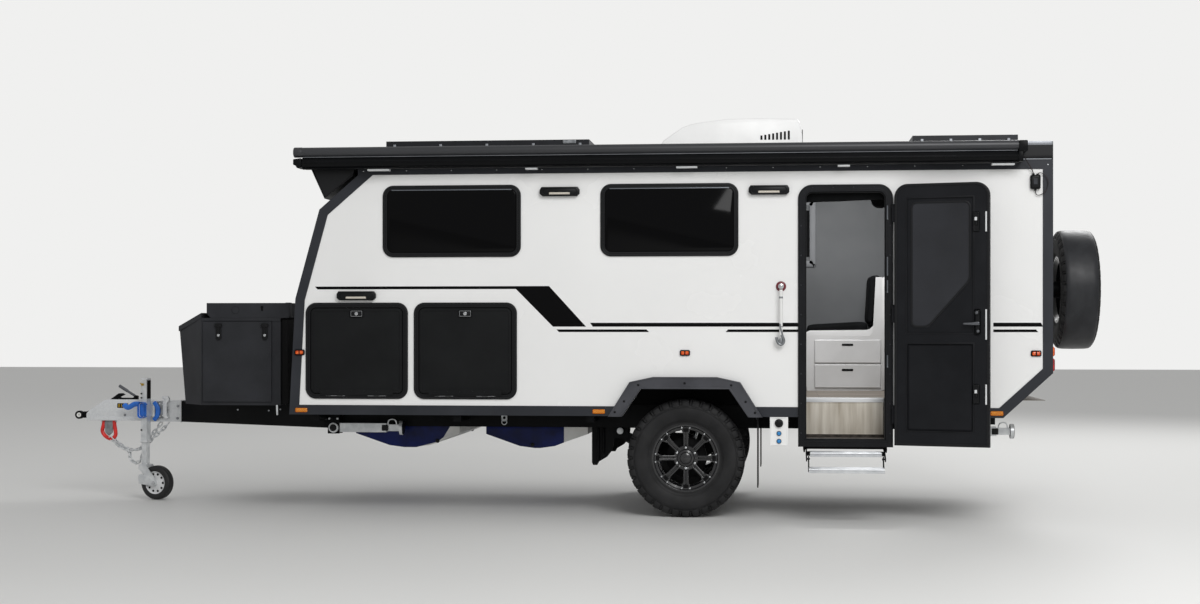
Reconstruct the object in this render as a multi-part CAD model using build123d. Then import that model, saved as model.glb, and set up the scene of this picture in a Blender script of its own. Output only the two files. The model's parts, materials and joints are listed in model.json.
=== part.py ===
from build123d import *
from math import atan2, degrees, hypot
import os

# Pop-top caravan, in millimetres. While it is built, the axle is at x = 0 and the centreline at
# y = 0, with +X forward, +Y to the left (door) side and +Z up from the floor that it stands on.
# export_parts() then moves everything so that the middle of the whole footprint is the origin.

# ---- Driving sizes: body shell ----
HALF_WIDTH = 1050.0  # centreline to a side wall's outer face
WALL = 30.0  # thickness of every wall panel
SILL_Z = 666.0  # lower edge of the walls
WALL_TOP_Z = 2242.0
FRONT_FOOT_X = 2617.0  # front wall at the sill
WAIST = (2576.0, 1427.0)  # x, z where the front wall starts to lean back
BROW = (2414.0, WALL_TOP_Z - 227.0)  # x, z of the front wall's upper bend
FRONT_TOP_X = 2150.0  # front wall at the wall top
REAR_X = -2328.0
TAIL_Z = 950.0  # top of the rear chamfer
TAIL_X = -2020.0  # foot of the rear chamfer at the sill
FLOOR_TOP_Z = 773.0
FLOOR = 54.0  # thickness of the floor
TRIM = 4.0  # how far edge trims stand out of the walls
TRIM_WIDTH = 60.0

# ---- Driving sizes: roof ----
RAIL_HEIGHT = 58.0  # rail on top of the walls
ROOF_Z = WALL_TOP_Z + RAIL_HEIGHT  # lower edge of the closed roof
ROOF_DEPTH = 118.0
ROOF_TOP_Z = ROOF_Z + ROOF_DEPTH
ROOF_SKIN = 40.0
ROOF_FRAME = 60.0  # width of the roof's edge frame, and of the rail that it rests on
ROOF_FRONT_X = 2480.0
ROOF_NOSE = 70.0  # how far the roof's front edge leans back over its height
PEAK_TIP = (BROW[0] - 31.0, WALL_TOP_Z - 153.0)  # x, z of the lowest point of the moulded peak
PEAK_REAR = (FRONT_TOP_X + 41.0, WALL_TOP_Z + 1.0)

# ---- Driving sizes: running gear ----
TYRE_R = 385.0
TYRE_WIDTH = 250.0
TYRE_INSET = 60.0  # from the wall's outer face in to the tyre
TYRE_OUT_Y = HALF_WIDTH - TYRE_INSET
RIM_R = 215.0
RIM_BEAD_R = 203.0
BEAD_HALF = 92.0  # middle of the wheel to a tyre bead's outer face
STUB_R = 30.0
PIVOT_X, PIVOT_Z = 456.0, 544.0  # trailing arm pivot
ARM_WIDTH = 90.0
SPRING_X, SPRING_SEAT_Z = 170.0, 455.0

# ---- Driving sizes: chassis ----
RAIL_WIDTH = 50.0
RAIL_Y = TYRE_OUT_Y - TYRE_WIDTH - 50.0  # middle of a side rail, clear of the tyre
ARM_Y = RAIL_Y - 90.0  # middle of a trailing arm
RAIL_DEPTH = 150.0
CROSS_DEPTH = 100.0
TAIL_RUN = hypot(REAR_X - TAIL_X, TAIL_Z - SILL_Z) / (TAIL_Z - SILL_Z)  # level width of a wall in the chamfer, over its thickness
RAIL_REAR_X = TAIL_X + WALL * TAIL_RUN + 1.0
CROSS_X = (2450.0, 1500.0, 620.0, -620.0, -1500.0, RAIL_REAR_X + RAIL_WIDTH / 2)
DRAWBAR_REAR_X = 3703.0
DRAWBAR_FRONT_X = 3960.0
DRAWBAR_HALF = 75.0
AFRAME_TOP_Z = 705.0
COUPLING_TIP_X = 4425.0
TOW_EYE_X = 4495.0
TOW_EYE_Z = 598.0
TOW_EYE_R = 30.0
TOW_PIN_R = 11.0

# ---- Driving sizes: openings in the side walls (x low, x high, z low, z high, outer edges) ----
WINDOWS = ((1072.0, 1990.0, 1699.0, 2170.0), (-345.0, 550.0, 1699.0, 2170.0))
RIGHT_WINDOWS = (WINDOWS[0], (-930.0, -35.0, 1699.0, 2170.0))
HATCHES = ((1822.0, 2509.0, 767.0, 1401.0), (1098.0, 1782.0, 767.0, 1401.0))
CORNER_R = 70.0
WINDOW_BORDER = 28.0
HATCH_BORDER = 32.0
HATCH_GAP = 5.0  # round a hatch leaf, inside its frame
HATCH_HINGE_R = 4.0
FRAME_OUT = 8.0  # how far window and hatch frames stand out of the wall
FLANGE = 12.0  # how far a frame laps over the wall round its hole
FIT = 0.3  # clearance of seated pieces

# ---- Driving sizes: doorway ----
DOOR_X = (-1330.0, -727.0)
DOOR_Z = (472.0, 2154.0)
DOOR_FRAME = 45.0
DOOR_FRAME_OUT = 12.0
DOOR_THICK = 38.0
DOOR_GAP = 10.0  # between the shut leaf and its frame
DOOR_HINGE_R = 9.0
DOOR_LAP = 6.0  # from the frame's top to the leaf's
DOOR_FREE_LAP = 10.0  # how far the leaf reaches past the frame on its free side
DOOR_FOOT_UP = 16.0  # from the frame's foot to the leaf's
DOOR_EDGE = 14.0  # from the frame's outer edge to the leaf, on the hinge side
DOOR_OPEN = 164.0  # degrees from shut to where it stands
DOOR_TOP_R = 90.0  # rounding of the doorway's two upper corners
DOOR_STILES = (73.0, 94.0)  # leaf's edge to its panels, on the hinge side and on the free side
DOOR_HEAD = 85.0
DOOR_FOOT = 88.0
DOOR_MID_RAIL = (1143.0, 1196.0)
DOOR_PANEL_IN = 8.0  # how deep the panels are set in on each side
DOOR_GLASS_IN = (30.0, 23.0, 29.0, 41.0)  # panel's edge to the pane: hinge side, free side, top, foot
DOOR_GLASS_CUT = (265.0, 310.0)  # the pane's cut lower corner, along x and up
DOOR_GLASS_R = 45.0
DOOR_HINGE_Z = (DOOR_Z[0] + 200, (DOOR_Z[0] + DOOR_Z[1]) / 2, DOOR_Z[1] - 200)
DOOR_KNUCKLE = 45.0  # half height of a knuckle on the leaf
STEP_DEPTH = 230.0  # how far the step well reaches in from the wall's outer face
STEP_TREAD_Z = 515.0

# ---- Driving sizes: wheel arches ----
ARCH_FOOT = 404.0  # half width of the wall's cut-out at the sill
ARCH_HEAD = 285.0
ARCH_TOP_Z = 840.0
ARCH_CORNER = 60.0  # chamfer at each end of the arch's flat top
FLARE_WIDTH = 90.0
FLARE_OUT = 45.0

# ---- Driving sizes: front box ----
BOX_HALF = 700.0
BOX_REAR_X = 2783.0
BOX_CORNER_X = 3339.0
BOX_NOSE_X = 3598.0
BOX_NOSE_FOOT_X = 3527.0
BOX_NOSE_HALF = 400.0
BOX_TOP_Z = 1303.0
BOX_NOSE_Z = 1214.0
BOX_WALL = 8.0
BOX_LID = 35.0
BOX_DOOR = (2860.0, 3310.0, 745.0, 1262.0)  # x low, x high, z low, z high of a side door's hole
TRAY_X = (2727.0, 3303.0)
TRAY_DEPTH = 102.0

# ---- Driving sizes: jockey wheel ----
JOCKEY_X = 3945.0
JOCKEY_Y = 135.0
JOCKEY_TURN = -15.0
JOCKEY_TUBE = 50.0
JOCKEY_TUBE_WALL = 3.0
JOCKEY_TUBE_Z = (416.0, 862.0)
JOCKEY_LEG_Z = (262.0, 700.0)
JOCKEY_WHEEL_R = 122.0
JOCKEY_WHEEL_WIDTH = 70.0
JOCKEY_TRAIL = 100.0

# ---- Driving sizes: stabiliser legs ----
LEG_TUBE = 60.0
LEG_LENGTH = 470.0
LEG_Y = RAIL_Y + 80.0
LEG_Z = 562.0
LEG_PIVOTS = {"front": 2385.0, "rear": -1650.0}

# ---- Driving sizes: entry step ----
STEP_X = (-1290.0, -767.0)
STEP_HINGE = (HALF_WIDTH - 65.0, 455.0)  # y, z of the upper tread's hinge
STEP_KNEE = (HALF_WIDTH + 85.0, 400.0)  # y, z of the lower tread's hinge
STEP_FRONT = 170.0  # the lower tread's front edge, out from its hinge
STEP_PIN_R = 6.0

# ---- Driving sizes: dinette ----
BENCH_X = (-1351.0, -785.0)
BENCH_Y = -540.0  # its side towards the aisle
BENCH_Z = 1175.0  # top of the board under the cushion
BENCH_BACK_Z = 1605.0
BENCH_BOARD = 16.0
CUSHION = 55.0

# ---- Driving sizes: fittings ----
AWNING_X = (-2166.0, 2565.0)
AWNING_OUT = 140.0
AWNING_R = 52.0
SPARE_Y = 520.0
SPARE_Z = 1488.0
SPARE_X = -2540.0  # middle plane of the spare tyre

LEAD_FOOT_Z = WALL_TOP_Z - 32.0  # top of the junction box, where the awning's lead starts

# ---- Worked out from the sizes above ----
INNER_HALF = HALF_WIDTH - WALL
FLOOR_Z = FLOOR_TOP_Z - FLOOR
RAIL_Z = FLOOR_Z - RAIL_DEPTH
TYRE_Y = TYRE_OUT_Y - TYRE_WIDTH / 2


# ---- Small shape makers ----
def block(x, y, z):
    """Box between the given pairs of x, y and z."""
    size = (abs(x[1] - x[0]), abs(y[1] - y[0]), abs(z[1] - z[0]))
    middle = ((x[0] + x[1]) / 2, (y[0] + y[1]) / 2, (z[0] + z[1]) / 2)
    return Pos(*middle) * Box(*size)


def side_prism(outline, y):
    """Prism whose outline runs in x and z, between the two values of y."""
    face = make_face(Polyline(*[(px, y[0], pz) for px, pz in outline], close=True))
    return extrude(face, amount=y[1] - y[0], dir=(0, 1, 0))


def plan_prism(outline, z):
    """Prism whose outline runs in x and y, between the two heights."""
    face = make_face(Polyline(*[(px, py, z[0]) for px, py in outline], close=True))
    return extrude(face, amount=z[1] - z[0], dir=(0, 0, 1))


def rounded_block(x, z, radius, y):
    """Block with rounded corners in side view, between the two values of y."""
    plane = Plane(origin=((x[0] + x[1]) / 2, y[0], (z[0] + z[1]) / 2), x_dir=(1, 0, 0), z_dir=(0, 1, 0))
    return extrude(plane * RectangleRounded(x[1] - x[0], z[1] - z[0], radius), amount=y[1] - y[0])


def rod_y(x, z, radius, y):
    """Round bar along Y."""
    return extrude(Plane(origin=(x, y[0], z), z_dir=(0, 1, 0)) * Circle(radius), amount=y[1] - y[0])


def rod_x(y, z, radius, x):
    """Round bar along X."""
    return extrude(Plane(origin=(x[0], y, z), z_dir=(1, 0, 0)) * Circle(radius), amount=x[1] - x[0])


def rod_z(x, y, radius, z):
    """Round bar along Z."""
    return extrude(Plane(origin=(x, y, z[0]), z_dir=(0, 0, 1)) * Circle(radius), amount=z[1] - z[0])


def both_sides(part):
    """The part and its mirror image across the centreline, as solids of one piece."""
    return Compound(children=[*part.solids(), *mirror(part, Plane.XZ).solids()])


def group(*parts):
    """Several solids that share a node."""
    return Compound(children=[solid for part in parts for solid in part.solids()])


# ---- Body shell ----
def line_x(low, high, z):
    """x at height z on the line through two (x, z) points."""
    return low[0] + (high[0] - low[0]) * (z - low[1]) / (high[1] - low[1])


def body_outline(low_z, high_z):
    """Side outline of the body, with its end lines run on to the given heights."""
    foot = (FRONT_FOOT_X, SILL_Z)
    return [
        (line_x(foot, WAIST, low_z), low_z),
        WAIST,
        BROW,
        (line_x(BROW, (FRONT_TOP_X, WALL_TOP_Z), high_z), high_z),
        (REAR_X, high_z),
        (REAR_X, TAIL_Z),
        (line_x((TAIL_X, SILL_Z), (REAR_X, TAIL_Z), low_z), low_z),
    ]


def grown(outline, y, amount):
    """Prism of an outline moved out (or in, if negative) by an amount."""
    face = make_face(Polyline(*[(px, y[0], pz) for px, pz in outline], close=True))
    return extrude(offset(face, amount, kind=Kind.INTERSECTION), amount=y[1] - y[0], dir=(0, 1, 0))


def cabin_space(side):
    """Everything inside the walls, run on past the sill and the wall top."""
    return grown(body_outline(SILL_Z - 200, WALL_TOP_Z + 200), (-side, side), -WALL)


def hole(opening, shrink, y, radius=CORNER_R):
    """Rounded hole of an opening, smaller than its outer edge by shrink."""
    x0, x1, z0, z1 = opening
    return rounded_block((x0 + shrink, x1 - shrink), (z0 + shrink, z1 - shrink), radius - shrink, y)


def arch_outline(grow, low_z):
    """Wheel arch in side view, grown by an amount, from low_z up."""
    foot_z = SILL_Z
    slope = (ARCH_FOOT - ARCH_HEAD) / (ARCH_TOP_Z - foot_z)
    low = ARCH_FOOT + grow + slope * (foot_z - low_z)
    return [
        (-low, low_z),
        (-ARCH_FOOT - grow, foot_z),
        (-ARCH_HEAD - grow * 0.8, ARCH_TOP_Z + grow * 0.5),
        (-ARCH_HEAD + grow * 0.2 + ARCH_CORNER, ARCH_TOP_Z + grow * 0.86),
        (ARCH_HEAD - grow * 0.2 - ARCH_CORNER, ARCH_TOP_Z + grow * 0.86),
        (ARCH_HEAD + grow * 0.8, ARCH_TOP_Z + grow * 0.5),
        (ARCH_FOOT + grow, foot_z),
        (low, low_z),
    ]


def door_shape(x, z, radius, y):
    """Panel with rounded upper corners and a square foot, between the two values of y."""
    return rounded_block(x, z, radius, y) + block(x, y, (z[0], z[0] + 2 * radius))


def door_hole(shrink, y):
    """The doorway, smaller than its frame's outer edge by shrink."""
    x = (DOOR_X[0] + shrink, DOOR_X[1] - shrink)
    return door_shape(x, (DOOR_Z[0] + shrink, DOOR_Z[1] - shrink), DOOR_TOP_R - shrink, y)


def left_wall():
    wall = side_prism(body_outline(SILL_Z, WALL_TOP_Z), (INNER_HALF, HALF_WIDTH))
    through = (INNER_HALF - 10, HALF_WIDTH + 10)
    for opening in WINDOWS + HATCHES:
        wall -= hole(opening, FLANGE, through)
    wall -= side_prism(arch_outline(0, SILL_Z - 20), through)
    return wall - door_hole(FLANGE, through)


def right_wall():
    wall = side_prism(body_outline(SILL_Z, WALL_TOP_Z), (-HALF_WIDTH, -INNER_HALF))
    through = (-HALF_WIDTH - 10, -INNER_HALF + 10)
    for opening in (*RIGHT_WINDOWS, HATCHES[0]):
        wall -= hole(opening, FLANGE, through)
    return wall - side_prism(arch_outline(0, SILL_Z - 20), through)


def end_walls():
    """Front and rear walls, which run between the side walls."""
    shell = side_prism(body_outline(SILL_Z, WALL_TOP_Z), (-INNER_HALF, INNER_HALF)) - cabin_space(INNER_HALF + 10)
    front = shell & block((TAIL_X / 2, FRONT_FOOT_X + 50), (-HALF_WIDTH, HALF_WIDTH), (0, 3000))
    rear = shell & block((REAR_X - 50, TAIL_X / 2), (-HALF_WIDTH, HALF_WIDTH), (0, 3000))
    reach = aframe_half_y(FRONT_FOOT_X - WALL)
    for side in (-1, 1):
        notch = (side * (reach + 20), side * (reach - RAIL_WIDTH - 45))
        front -= block((FRONT_FOOT_X - 2 * WALL, FRONT_FOOT_X + 10), notch, (SILL_Z - 10, AFRAME_TOP_Z + 5))
    return front, rear


def floor():
    """Floor panel, with the wheel boxes' holes, and the entry step's well let into it."""
    slab = side_prism(body_outline(SILL_Z, WALL_TOP_Z), (-INNER_HALF, INNER_HALF))
    slab = slab & cabin_space(INNER_HALF + 10)
    slab = slab & block((REAR_X, FRONT_FOOT_X), (-HALF_WIDTH, HALF_WIDTH), (FLOOR_Z, FLOOR_TOP_Z))
    for side in (-1, 1):
        slab -= block(
            (-ARCH_FOOT - 20, ARCH_FOOT + 20),
            (side * (TYRE_OUT_Y - TYRE_WIDTH - 40), side * (INNER_HALF + 10)),
            (FLOOR_Z - 10, FLOOR_TOP_Z + 10),
        )
    wall = 15.0
    x0, x1 = DOOR_X[0] + DOOR_FRAME, DOOR_X[1] - DOOR_FRAME
    back = HALF_WIDTH - STEP_DEPTH
    slab -= block((x0 - wall, x1 + wall), (back - wall, INNER_HALF + 10), (FLOOR_Z - 10, FLOOR_TOP_Z + 10))
    well = block((x0 - wall, x1 + wall), (back - wall, INNER_HALF), (STEP_TREAD_Z - wall, FLOOR_TOP_Z))
    well -= block((x0, x1), (back, INNER_HALF + 10), (STEP_TREAD_Z, FLOOR_TOP_Z + 10))
    return slab + well


def wheel_wells():
    """Box over each wheel, closed to the cabin and open below and to the outside."""
    skin = 6.0
    inner_y = TYRE_OUT_Y - TYRE_WIDTH - 40
    outer = block((-ARCH_FOOT - 20, ARCH_FOOT + 20), (inner_y, INNER_HALF), (FLOOR_Z, ARCH_TOP_Z + 70))
    inner = block(
        (-ARCH_FOOT - 20 + skin, ARCH_FOOT + 20 - skin),
        (inner_y + skin, INNER_HALF + 10),
        (FLOOR_Z - 10, ARCH_TOP_Z + 70 - skin),
    )
    return both_sides(outer - inner)


def body_trims():
    """Edge mouldings round each side and the rail on top of the walls that carries the roof."""
    outline = body_outline(SILL_Z, WALL_TOP_Z)
    lip = 40.0
    edge = grown(outline, (HALF_WIDTH - lip, HALF_WIDTH + TRIM), TRIM)
    edge -= side_prism(outline, (HALF_WIDTH - lip - 10, HALF_WIDTH))
    taller = body_outline(SILL_Z, WALL_TOP_Z + 2 * TRIM_WIDTH)
    edge -= grown(taller, (HALF_WIDTH - lip - 10, HALF_WIDTH + TRIM + 10), -TRIM_WIDTH)
    edge -= block((-3000, 3000), (0, 2000), (WALL_TOP_Z, 3000))
    edge -= block((TAIL_X, FRONT_FOOT_X - TRIM_WIDTH), (HALF_WIDTH - lip - 10, HALF_WIDTH), (0, SILL_Z + 1))
    edge -= side_prism(arch_outline(FLARE_WIDTH + FIT, SILL_Z - 20), (0, 2000))
    right = mirror(edge, Plane.XZ)
    left = edge - door_hole(-FIT, (0, 2000))
    rail_top = ROOF_Z - FIT
    rail = block((REAR_X - TRIM, FRONT_TOP_X + 2 * TRIM), (-HALF_WIDTH - TRIM, HALF_WIDTH + TRIM), (WALL_TOP_Z, rail_top))
    rail -= block(
        (REAR_X + ROOF_FRAME, FRONT_TOP_X - ROOF_FRAME),
        (-HALF_WIDTH + ROOF_FRAME, HALF_WIDTH - ROOF_FRAME),
        (WALL_TOP_Z - 10, rail_top + 10),
    )
    return left + right + rail


# ---- Windows, hatches and doorway ----
def side_frame(opening, border, side):
    """Frame of a window or hatch: a flange on the wall and a sleeve through it."""
    flange = hole(opening, 0, (HALF_WIDTH, HALF_WIDTH + FRAME_OUT))
    sleeve = hole(opening, FLANGE + FIT, (INNER_HALF, HALF_WIDTH + 1))
    ring = (flange + sleeve) - hole(opening, border, (INNER_HALF - 10, HALF_WIDTH + 50))
    return ring if side > 0 else mirror(ring, Plane.XZ)


def window_places():
    return [(w, 1) for w in WINDOWS] + [(w, -1) for w in RIGHT_WINDOWS]


def window_frames():
    return group(*[side_frame(w, WINDOW_BORDER, side) for w, side in window_places()])


def window_glass():
    """Acrylic panes, each seated in its frame."""
    panes = []
    for opening, side in window_places():
        pane = hole(opening, WINDOW_BORDER, (HALF_WIDTH - 6, HALF_WIDTH + 6))
        panes.append(pane if side > 0 else mirror(pane, Plane.XZ))
    return group(*panes)


def hatch_frames():
    rings = [side_frame(h, HATCH_BORDER, 1) for h in HATCHES]
    return group(*rings, side_frame(HATCHES[0], HATCH_BORDER, -1))


def hatch_hinge(opening):
    """y and z of a hatch's hinge line, just outside its frame's lower bar."""
    return HALF_WIDTH + FRAME_OUT + FIT + HATCH_HINGE_R, opening[2] + HATCH_BORDER - 7


def hatch_leaf(opening, side):
    """Storage hatch: a panel inside its frame, with a hinge strip along its lower edge."""
    leaf = hole(opening, HATCH_BORDER + HATCH_GAP, (HALF_WIDTH - 22, HALF_WIDTH + FRAME_OUT + 0.5))
    y, z = hatch_hinge(opening)
    across = (opening[0] + 100, opening[1] - 100)
    leaf += block(across, (y - HATCH_HINGE_R, y), (z, z + 40))
    leaf += rod_x(y, z, HATCH_HINGE_R, across)
    return leaf if side > 0 else mirror(leaf, Plane.XZ)


def door_frame():
    """Black frame round the doorway, which hangs below the sill to the step well's tread."""
    outer = door_hole(0, (HALF_WIDTH, HALF_WIDTH + DOOR_FRAME_OUT))
    sleeve = door_hole(FLANGE + FIT, (INNER_HALF + FIT, HALF_WIDTH + 1))
    return (outer + sleeve) - door_hole(DOOR_FRAME, (INNER_HALF - 10, HALF_WIDTH + 50))


def hinge_axis():
    """x and y of the entry door's hinge line, outside the frame's rear edge."""
    return DOOR_X[0] + DOOR_EDGE - 12, HALF_WIDTH + DOOR_FRAME_OUT + DOOR_THICK / 2 + DOOR_GAP


def door_placed(part):
    """A piece drawn on the shut door, turned to where the door stands."""
    hx, hy = hinge_axis()
    return Pos(hx, hy, 0) * Rot(0, 0, DOOR_OPEN) * Pos(-hx, -hy, 0) * part


def leaf_span():
    """x and z spans of the shut leaf."""
    return (DOOR_X[0] + DOOR_EDGE, DOOR_X[1] + DOOR_FREE_LAP), (DOOR_Z[0] + DOOR_FOOT_UP, DOOR_Z[1] - DOOR_LAP)


def leaf_panels():
    """x span and the two z spans of the leaf's sunk panels, the upper one first."""
    x, z = leaf_span()
    across = (x[0] + DOOR_STILES[0], x[1] - DOOR_STILES[1])
    return across, (DOOR_MID_RAIL[1], z[1] - DOOR_HEAD), (z[0] + DOOR_FOOT, DOOR_MID_RAIL[0])


def door_pane(shrink, y):
    """The leaf's pane, with its lower corner on the free side cut off, smaller by shrink."""
    across, upper, _ = leaf_panels()
    left, right, top, foot = DOOR_GLASS_IN
    x0, x1, z0, z1 = across[0] + left, across[1] - right, upper[0] + foot, upper[1] - top
    run, rise = DOOR_GLASS_CUT
    outline = [(x0, z0), (x1 - run, z0), (x1, z0 + rise), (x1, z1), (x0, z1)]
    face = make_face(Polyline(*[(px, y[0], pz) for px, pz in outline], close=True))
    face = fillet(face.vertices(), DOOR_GLASS_R)
    return extrude(offset(face, -shrink), amount=y[1] - y[0], dir=(0, 1, 0))


def entry_door():
    """Door leaf with its window cut and two sunk panels, shown standing open."""
    y0 = HALF_WIDTH + DOOR_FRAME_OUT + DOOR_GAP
    y1 = y0 + DOOR_THICK
    x, z = leaf_span()
    leaf = door_shape(x, z, DOOR_TOP_R - DOOR_LAP, (y0, y1))
    across, upper, lower = leaf_panels()
    for panel in (upper, lower):
        leaf -= block(across, (y0 - 10, y0 + DOOR_PANEL_IN), panel)
        leaf -= block(across, (y1 - DOOR_PANEL_IN, y1 + 10), panel)
    leaf -= door_pane(FLANGE, (y0 - 10, y1 + 10))
    leaf -= door_pane(0, (y0 - 10, y0 + DOOR_PANEL_IN + 4))
    hx, hy = hinge_axis()
    for z in DOOR_HINGE_Z:
        leaf += rod_z(hx, hy, DOOR_HINGE_R, (z - DOOR_KNUCKLE, z + DOOR_KNUCKLE))
        leaf += block((hx, hx + 30), (hy - 6, hy + 6), (z - DOOR_KNUCKLE, z + DOOR_KNUCKLE))
    return door_placed(leaf)


def door_glass():
    y0 = HALF_WIDTH + DOOR_FRAME_OUT + DOOR_GAP + DOOR_PANEL_IN
    return door_placed(door_pane(FIT, (y0, y0 + 4)))


def door_hinges():
    """Knuckles fixed to the door frame, above each of the leaf's."""
    hx, hy = hinge_axis()
    pieces = []
    for z in DOOR_HINGE_Z:
        knuckle = rod_z(hx, hy, DOOR_HINGE_R, (z + DOOR_KNUCKLE + FIT, z + DOOR_KNUCKLE + 25))
        knuckle += block((hx - 9, hx + 9), (HALF_WIDTH + DOOR_FRAME_OUT, hy), (z + DOOR_KNUCKLE + FIT, z + DOOR_KNUCKLE + 25))
        pieces.append(knuckle)
    return pieces


# ---- Wheel arches and mud flaps ----
def wheel_arch_flares():
    """Wide moulding round each wheel arch."""
    band = side_prism(arch_outline(FLARE_WIDTH, SILL_Z - 6), (HALF_WIDTH, HALF_WIDTH + FLARE_OUT))
    band -= side_prism(arch_outline(0, SILL_Z - 60), (HALF_WIDTH - 10, HALF_WIDTH + FLARE_OUT + 10))
    return both_sides(band)


def mud_flaps():
    flap_x = -ARCH_FOOT - 60
    flap = block((flap_x - 8, flap_x), (TYRE_OUT_Y - TYRE_WIDTH - 10, TYRE_OUT_Y + 5), (200, FLOOR_Z))
    return both_sides(flap)


# ---- Running gear ----
def tyre_section():
    """Half outline of the tyre in radius and width."""
    half = TYRE_WIDTH / 2
    bead = BEAD_HALF
    return [
        (RIM_BEAD_R, -bead), (RIM_R + 12, -bead - 8), (RIM_R + 70, -half), (TYRE_R - 55, -half + 2),
        (TYRE_R - 14, -half + 16), (TYRE_R, -half + 40), (TYRE_R, half - 40), (TYRE_R - 14, half - 16),
        (TYRE_R - 55, half - 2), (RIM_R + 70, half), (RIM_R + 12, bead + 8), (RIM_BEAD_R, bead),
    ]


def spun(section):
    """Ring about the Y axis from an outline of (radius, y)."""
    face = make_face(Polyline(*[(r, py, 0) for r, py in section], close=True))
    return revolve(face, axis=Axis.Y)


def rim_barrel():
    """Barrel of a wheel rim about the Y axis, with a flange at each end."""
    bead = BEAD_HALF
    return spun([
        (RIM_BEAD_R - FIT, -bead - FIT), (RIM_BEAD_R - FIT, bead + FIT), (RIM_R + 6, bead + 6.8), (RIM_R + 6, bead + 14),
        (RIM_R - 6, bead + 14), (RIM_BEAD_R - 14, bead - 4), (RIM_BEAD_R - 14, -bead + 4),
        (RIM_R - 6, -bead - 14), (RIM_R + 6, -bead - 14), (RIM_R + 6, -bead - 6.8),
    ])


def wheel_rim():
    """Rim with eight spokes; its face is 70 mm outside the middle plane."""
    rim = rim_barrel()
    face_y = (52.0, 78.0)
    disc = rod_y(0, 0, 78, face_y)
    for k in range(8):
        spoke = block((-19, 19), face_y, (60, RIM_BEAD_R - 8))
        disc += Rot(0, 45.0 * k, 0) * spoke
    disc += rod_y(0, 0, 55, (face_y[1] - 1, face_y[1] + 22))
    return rim + disc


def road_wheel(side, tyre):
    """Tyre or rim of a road wheel, at its place on the axle."""
    if tyre:
        shape = spun(tyre_section())
    else:
        shape = wheel_rim() + rod_y(0, 0, 60, (-40, 60)) - rod_y(0, 0, STUB_R + 0.05, (-60, 60))
        shape = shape + rod_y(0, 0, 135, (-42, -2)) - rod_y(0, 0, STUB_R + 0.05, (-60, 60))
    placed = Pos(0, TYRE_Y, TYRE_R) * shape
    return placed if side > 0 else mirror(placed, Plane.XZ)


def suspension_arms():
    """Trailing arms: pivot tube, box arm and stub axle in one welded piece on each side."""
    half = ARM_WIDTH / 2
    arm = side_prism(
        [
            (PIVOT_X + 40, PIVOT_Z + 24), (PIVOT_X + 40, PIVOT_Z - 30), (300, TYRE_R + 15), (-55, TYRE_R - 40),
            (-55, TYRE_R + 45), (80, SPRING_SEAT_Z), (SPRING_X + 70, SPRING_SEAT_Z), (340, TYRE_R + 115),
        ],
        (ARM_Y - half, ARM_Y + half),
    )
    arm += rod_y(PIVOT_X, PIVOT_Z, 42, (ARM_Y - half, ARM_Y + half))
    arm -= rod_y(PIVOT_X, PIVOT_Z, 12.05, (ARM_Y - half - 20, ARM_Y + half + 20))
    arm += rod_y(0, TYRE_R, 48, (ARM_Y + half - 1, TYRE_Y - 42 - 30))
    arm += rod_y(0, TYRE_R, STUB_R, (ARM_Y, TYRE_Y + 55))
    arm += rod_y(0, TYRE_R, 128, (TYRE_Y - 42 - 30, TYRE_Y - 42 - 20))
    return both_sides(arm)


def suspension_springs():
    """Coil spring over each arm, drawn as the cylinder that it fills, and its damper."""
    spring = rod_z(SPRING_X, ARM_Y, 50, (SPRING_SEAT_Z, FLOOR_Z - CROSS_DEPTH / 2))
    return both_sides(spring)


# ---- Chassis ----
def aframe_half_y(x):
    """Outer y of the drawbar's converging rails at x."""
    rear_y = RAIL_Y + RAIL_WIDTH / 2
    return rear_y + (DRAWBAR_HALF - rear_y) * (x - CROSS_X[0]) / (DRAWBAR_REAR_X - CROSS_X[0])


def chassis_frame():
    """Welded ladder frame with its converging drawbar, leg brackets and step arms."""
    low, high = RAIL_Z, FLOOR_Z
    rail_y = (RAIL_Y - RAIL_WIDTH / 2, RAIL_Y + RAIL_WIDTH / 2)
    rear_x, front_x = CROSS_X[-1] - RAIL_WIDTH / 2, CROSS_X[0] + RAIL_WIDTH / 2
    frame = block((rear_x, front_x), rail_y, (low, high))
    frame += block((rear_x, front_x), (-rail_y[1], -rail_y[0]), (low, high))
    for x in CROSS_X:
        frame += block((x - 25, x + 25), (-INNER_HALF, INNER_HALF), (high - CROSS_DEPTH, high))
    bar_low = AFRAME_TOP_Z - RAIL_DEPTH
    slant = RAIL_WIDTH * 1.1
    for side in (-1, 1):
        bar = [
            (DRAWBAR_REAR_X, side * DRAWBAR_HALF),
            (DRAWBAR_REAR_X, side * (DRAWBAR_HALF - slant)),
            (CROSS_X[0] - 25, side * (aframe_half_y(CROSS_X[0] - 25) - slant)),
            (CROSS_X[0] - 25, side * aframe_half_y(CROSS_X[0] - 25)),
        ]
        frame += plan_prism(bar, (bar_low, AFRAME_TOP_Z))
    for x in (BOX_REAR_X + 60, BOX_CORNER_X):
        reach = aframe_half_y(x) - 20
        frame += block((x - 25, x + 25), (-reach, reach), (bar_low + 50, AFRAME_TOP_Z))
    for x in LEG_PIVOTS.values():
        for side in (-1, 1):
            frame += leg_bracket(x, side)
    for side in (-1, 1):
        frame += pivot_hanger(side)
        seat = (side * (ARM_Y - 55), side * rail_y[1])
        frame += block((SPRING_X - 60, SPRING_X + 60), seat, (high - CROSS_DEPTH / 2, high))
    return frame + step_arms()


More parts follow.
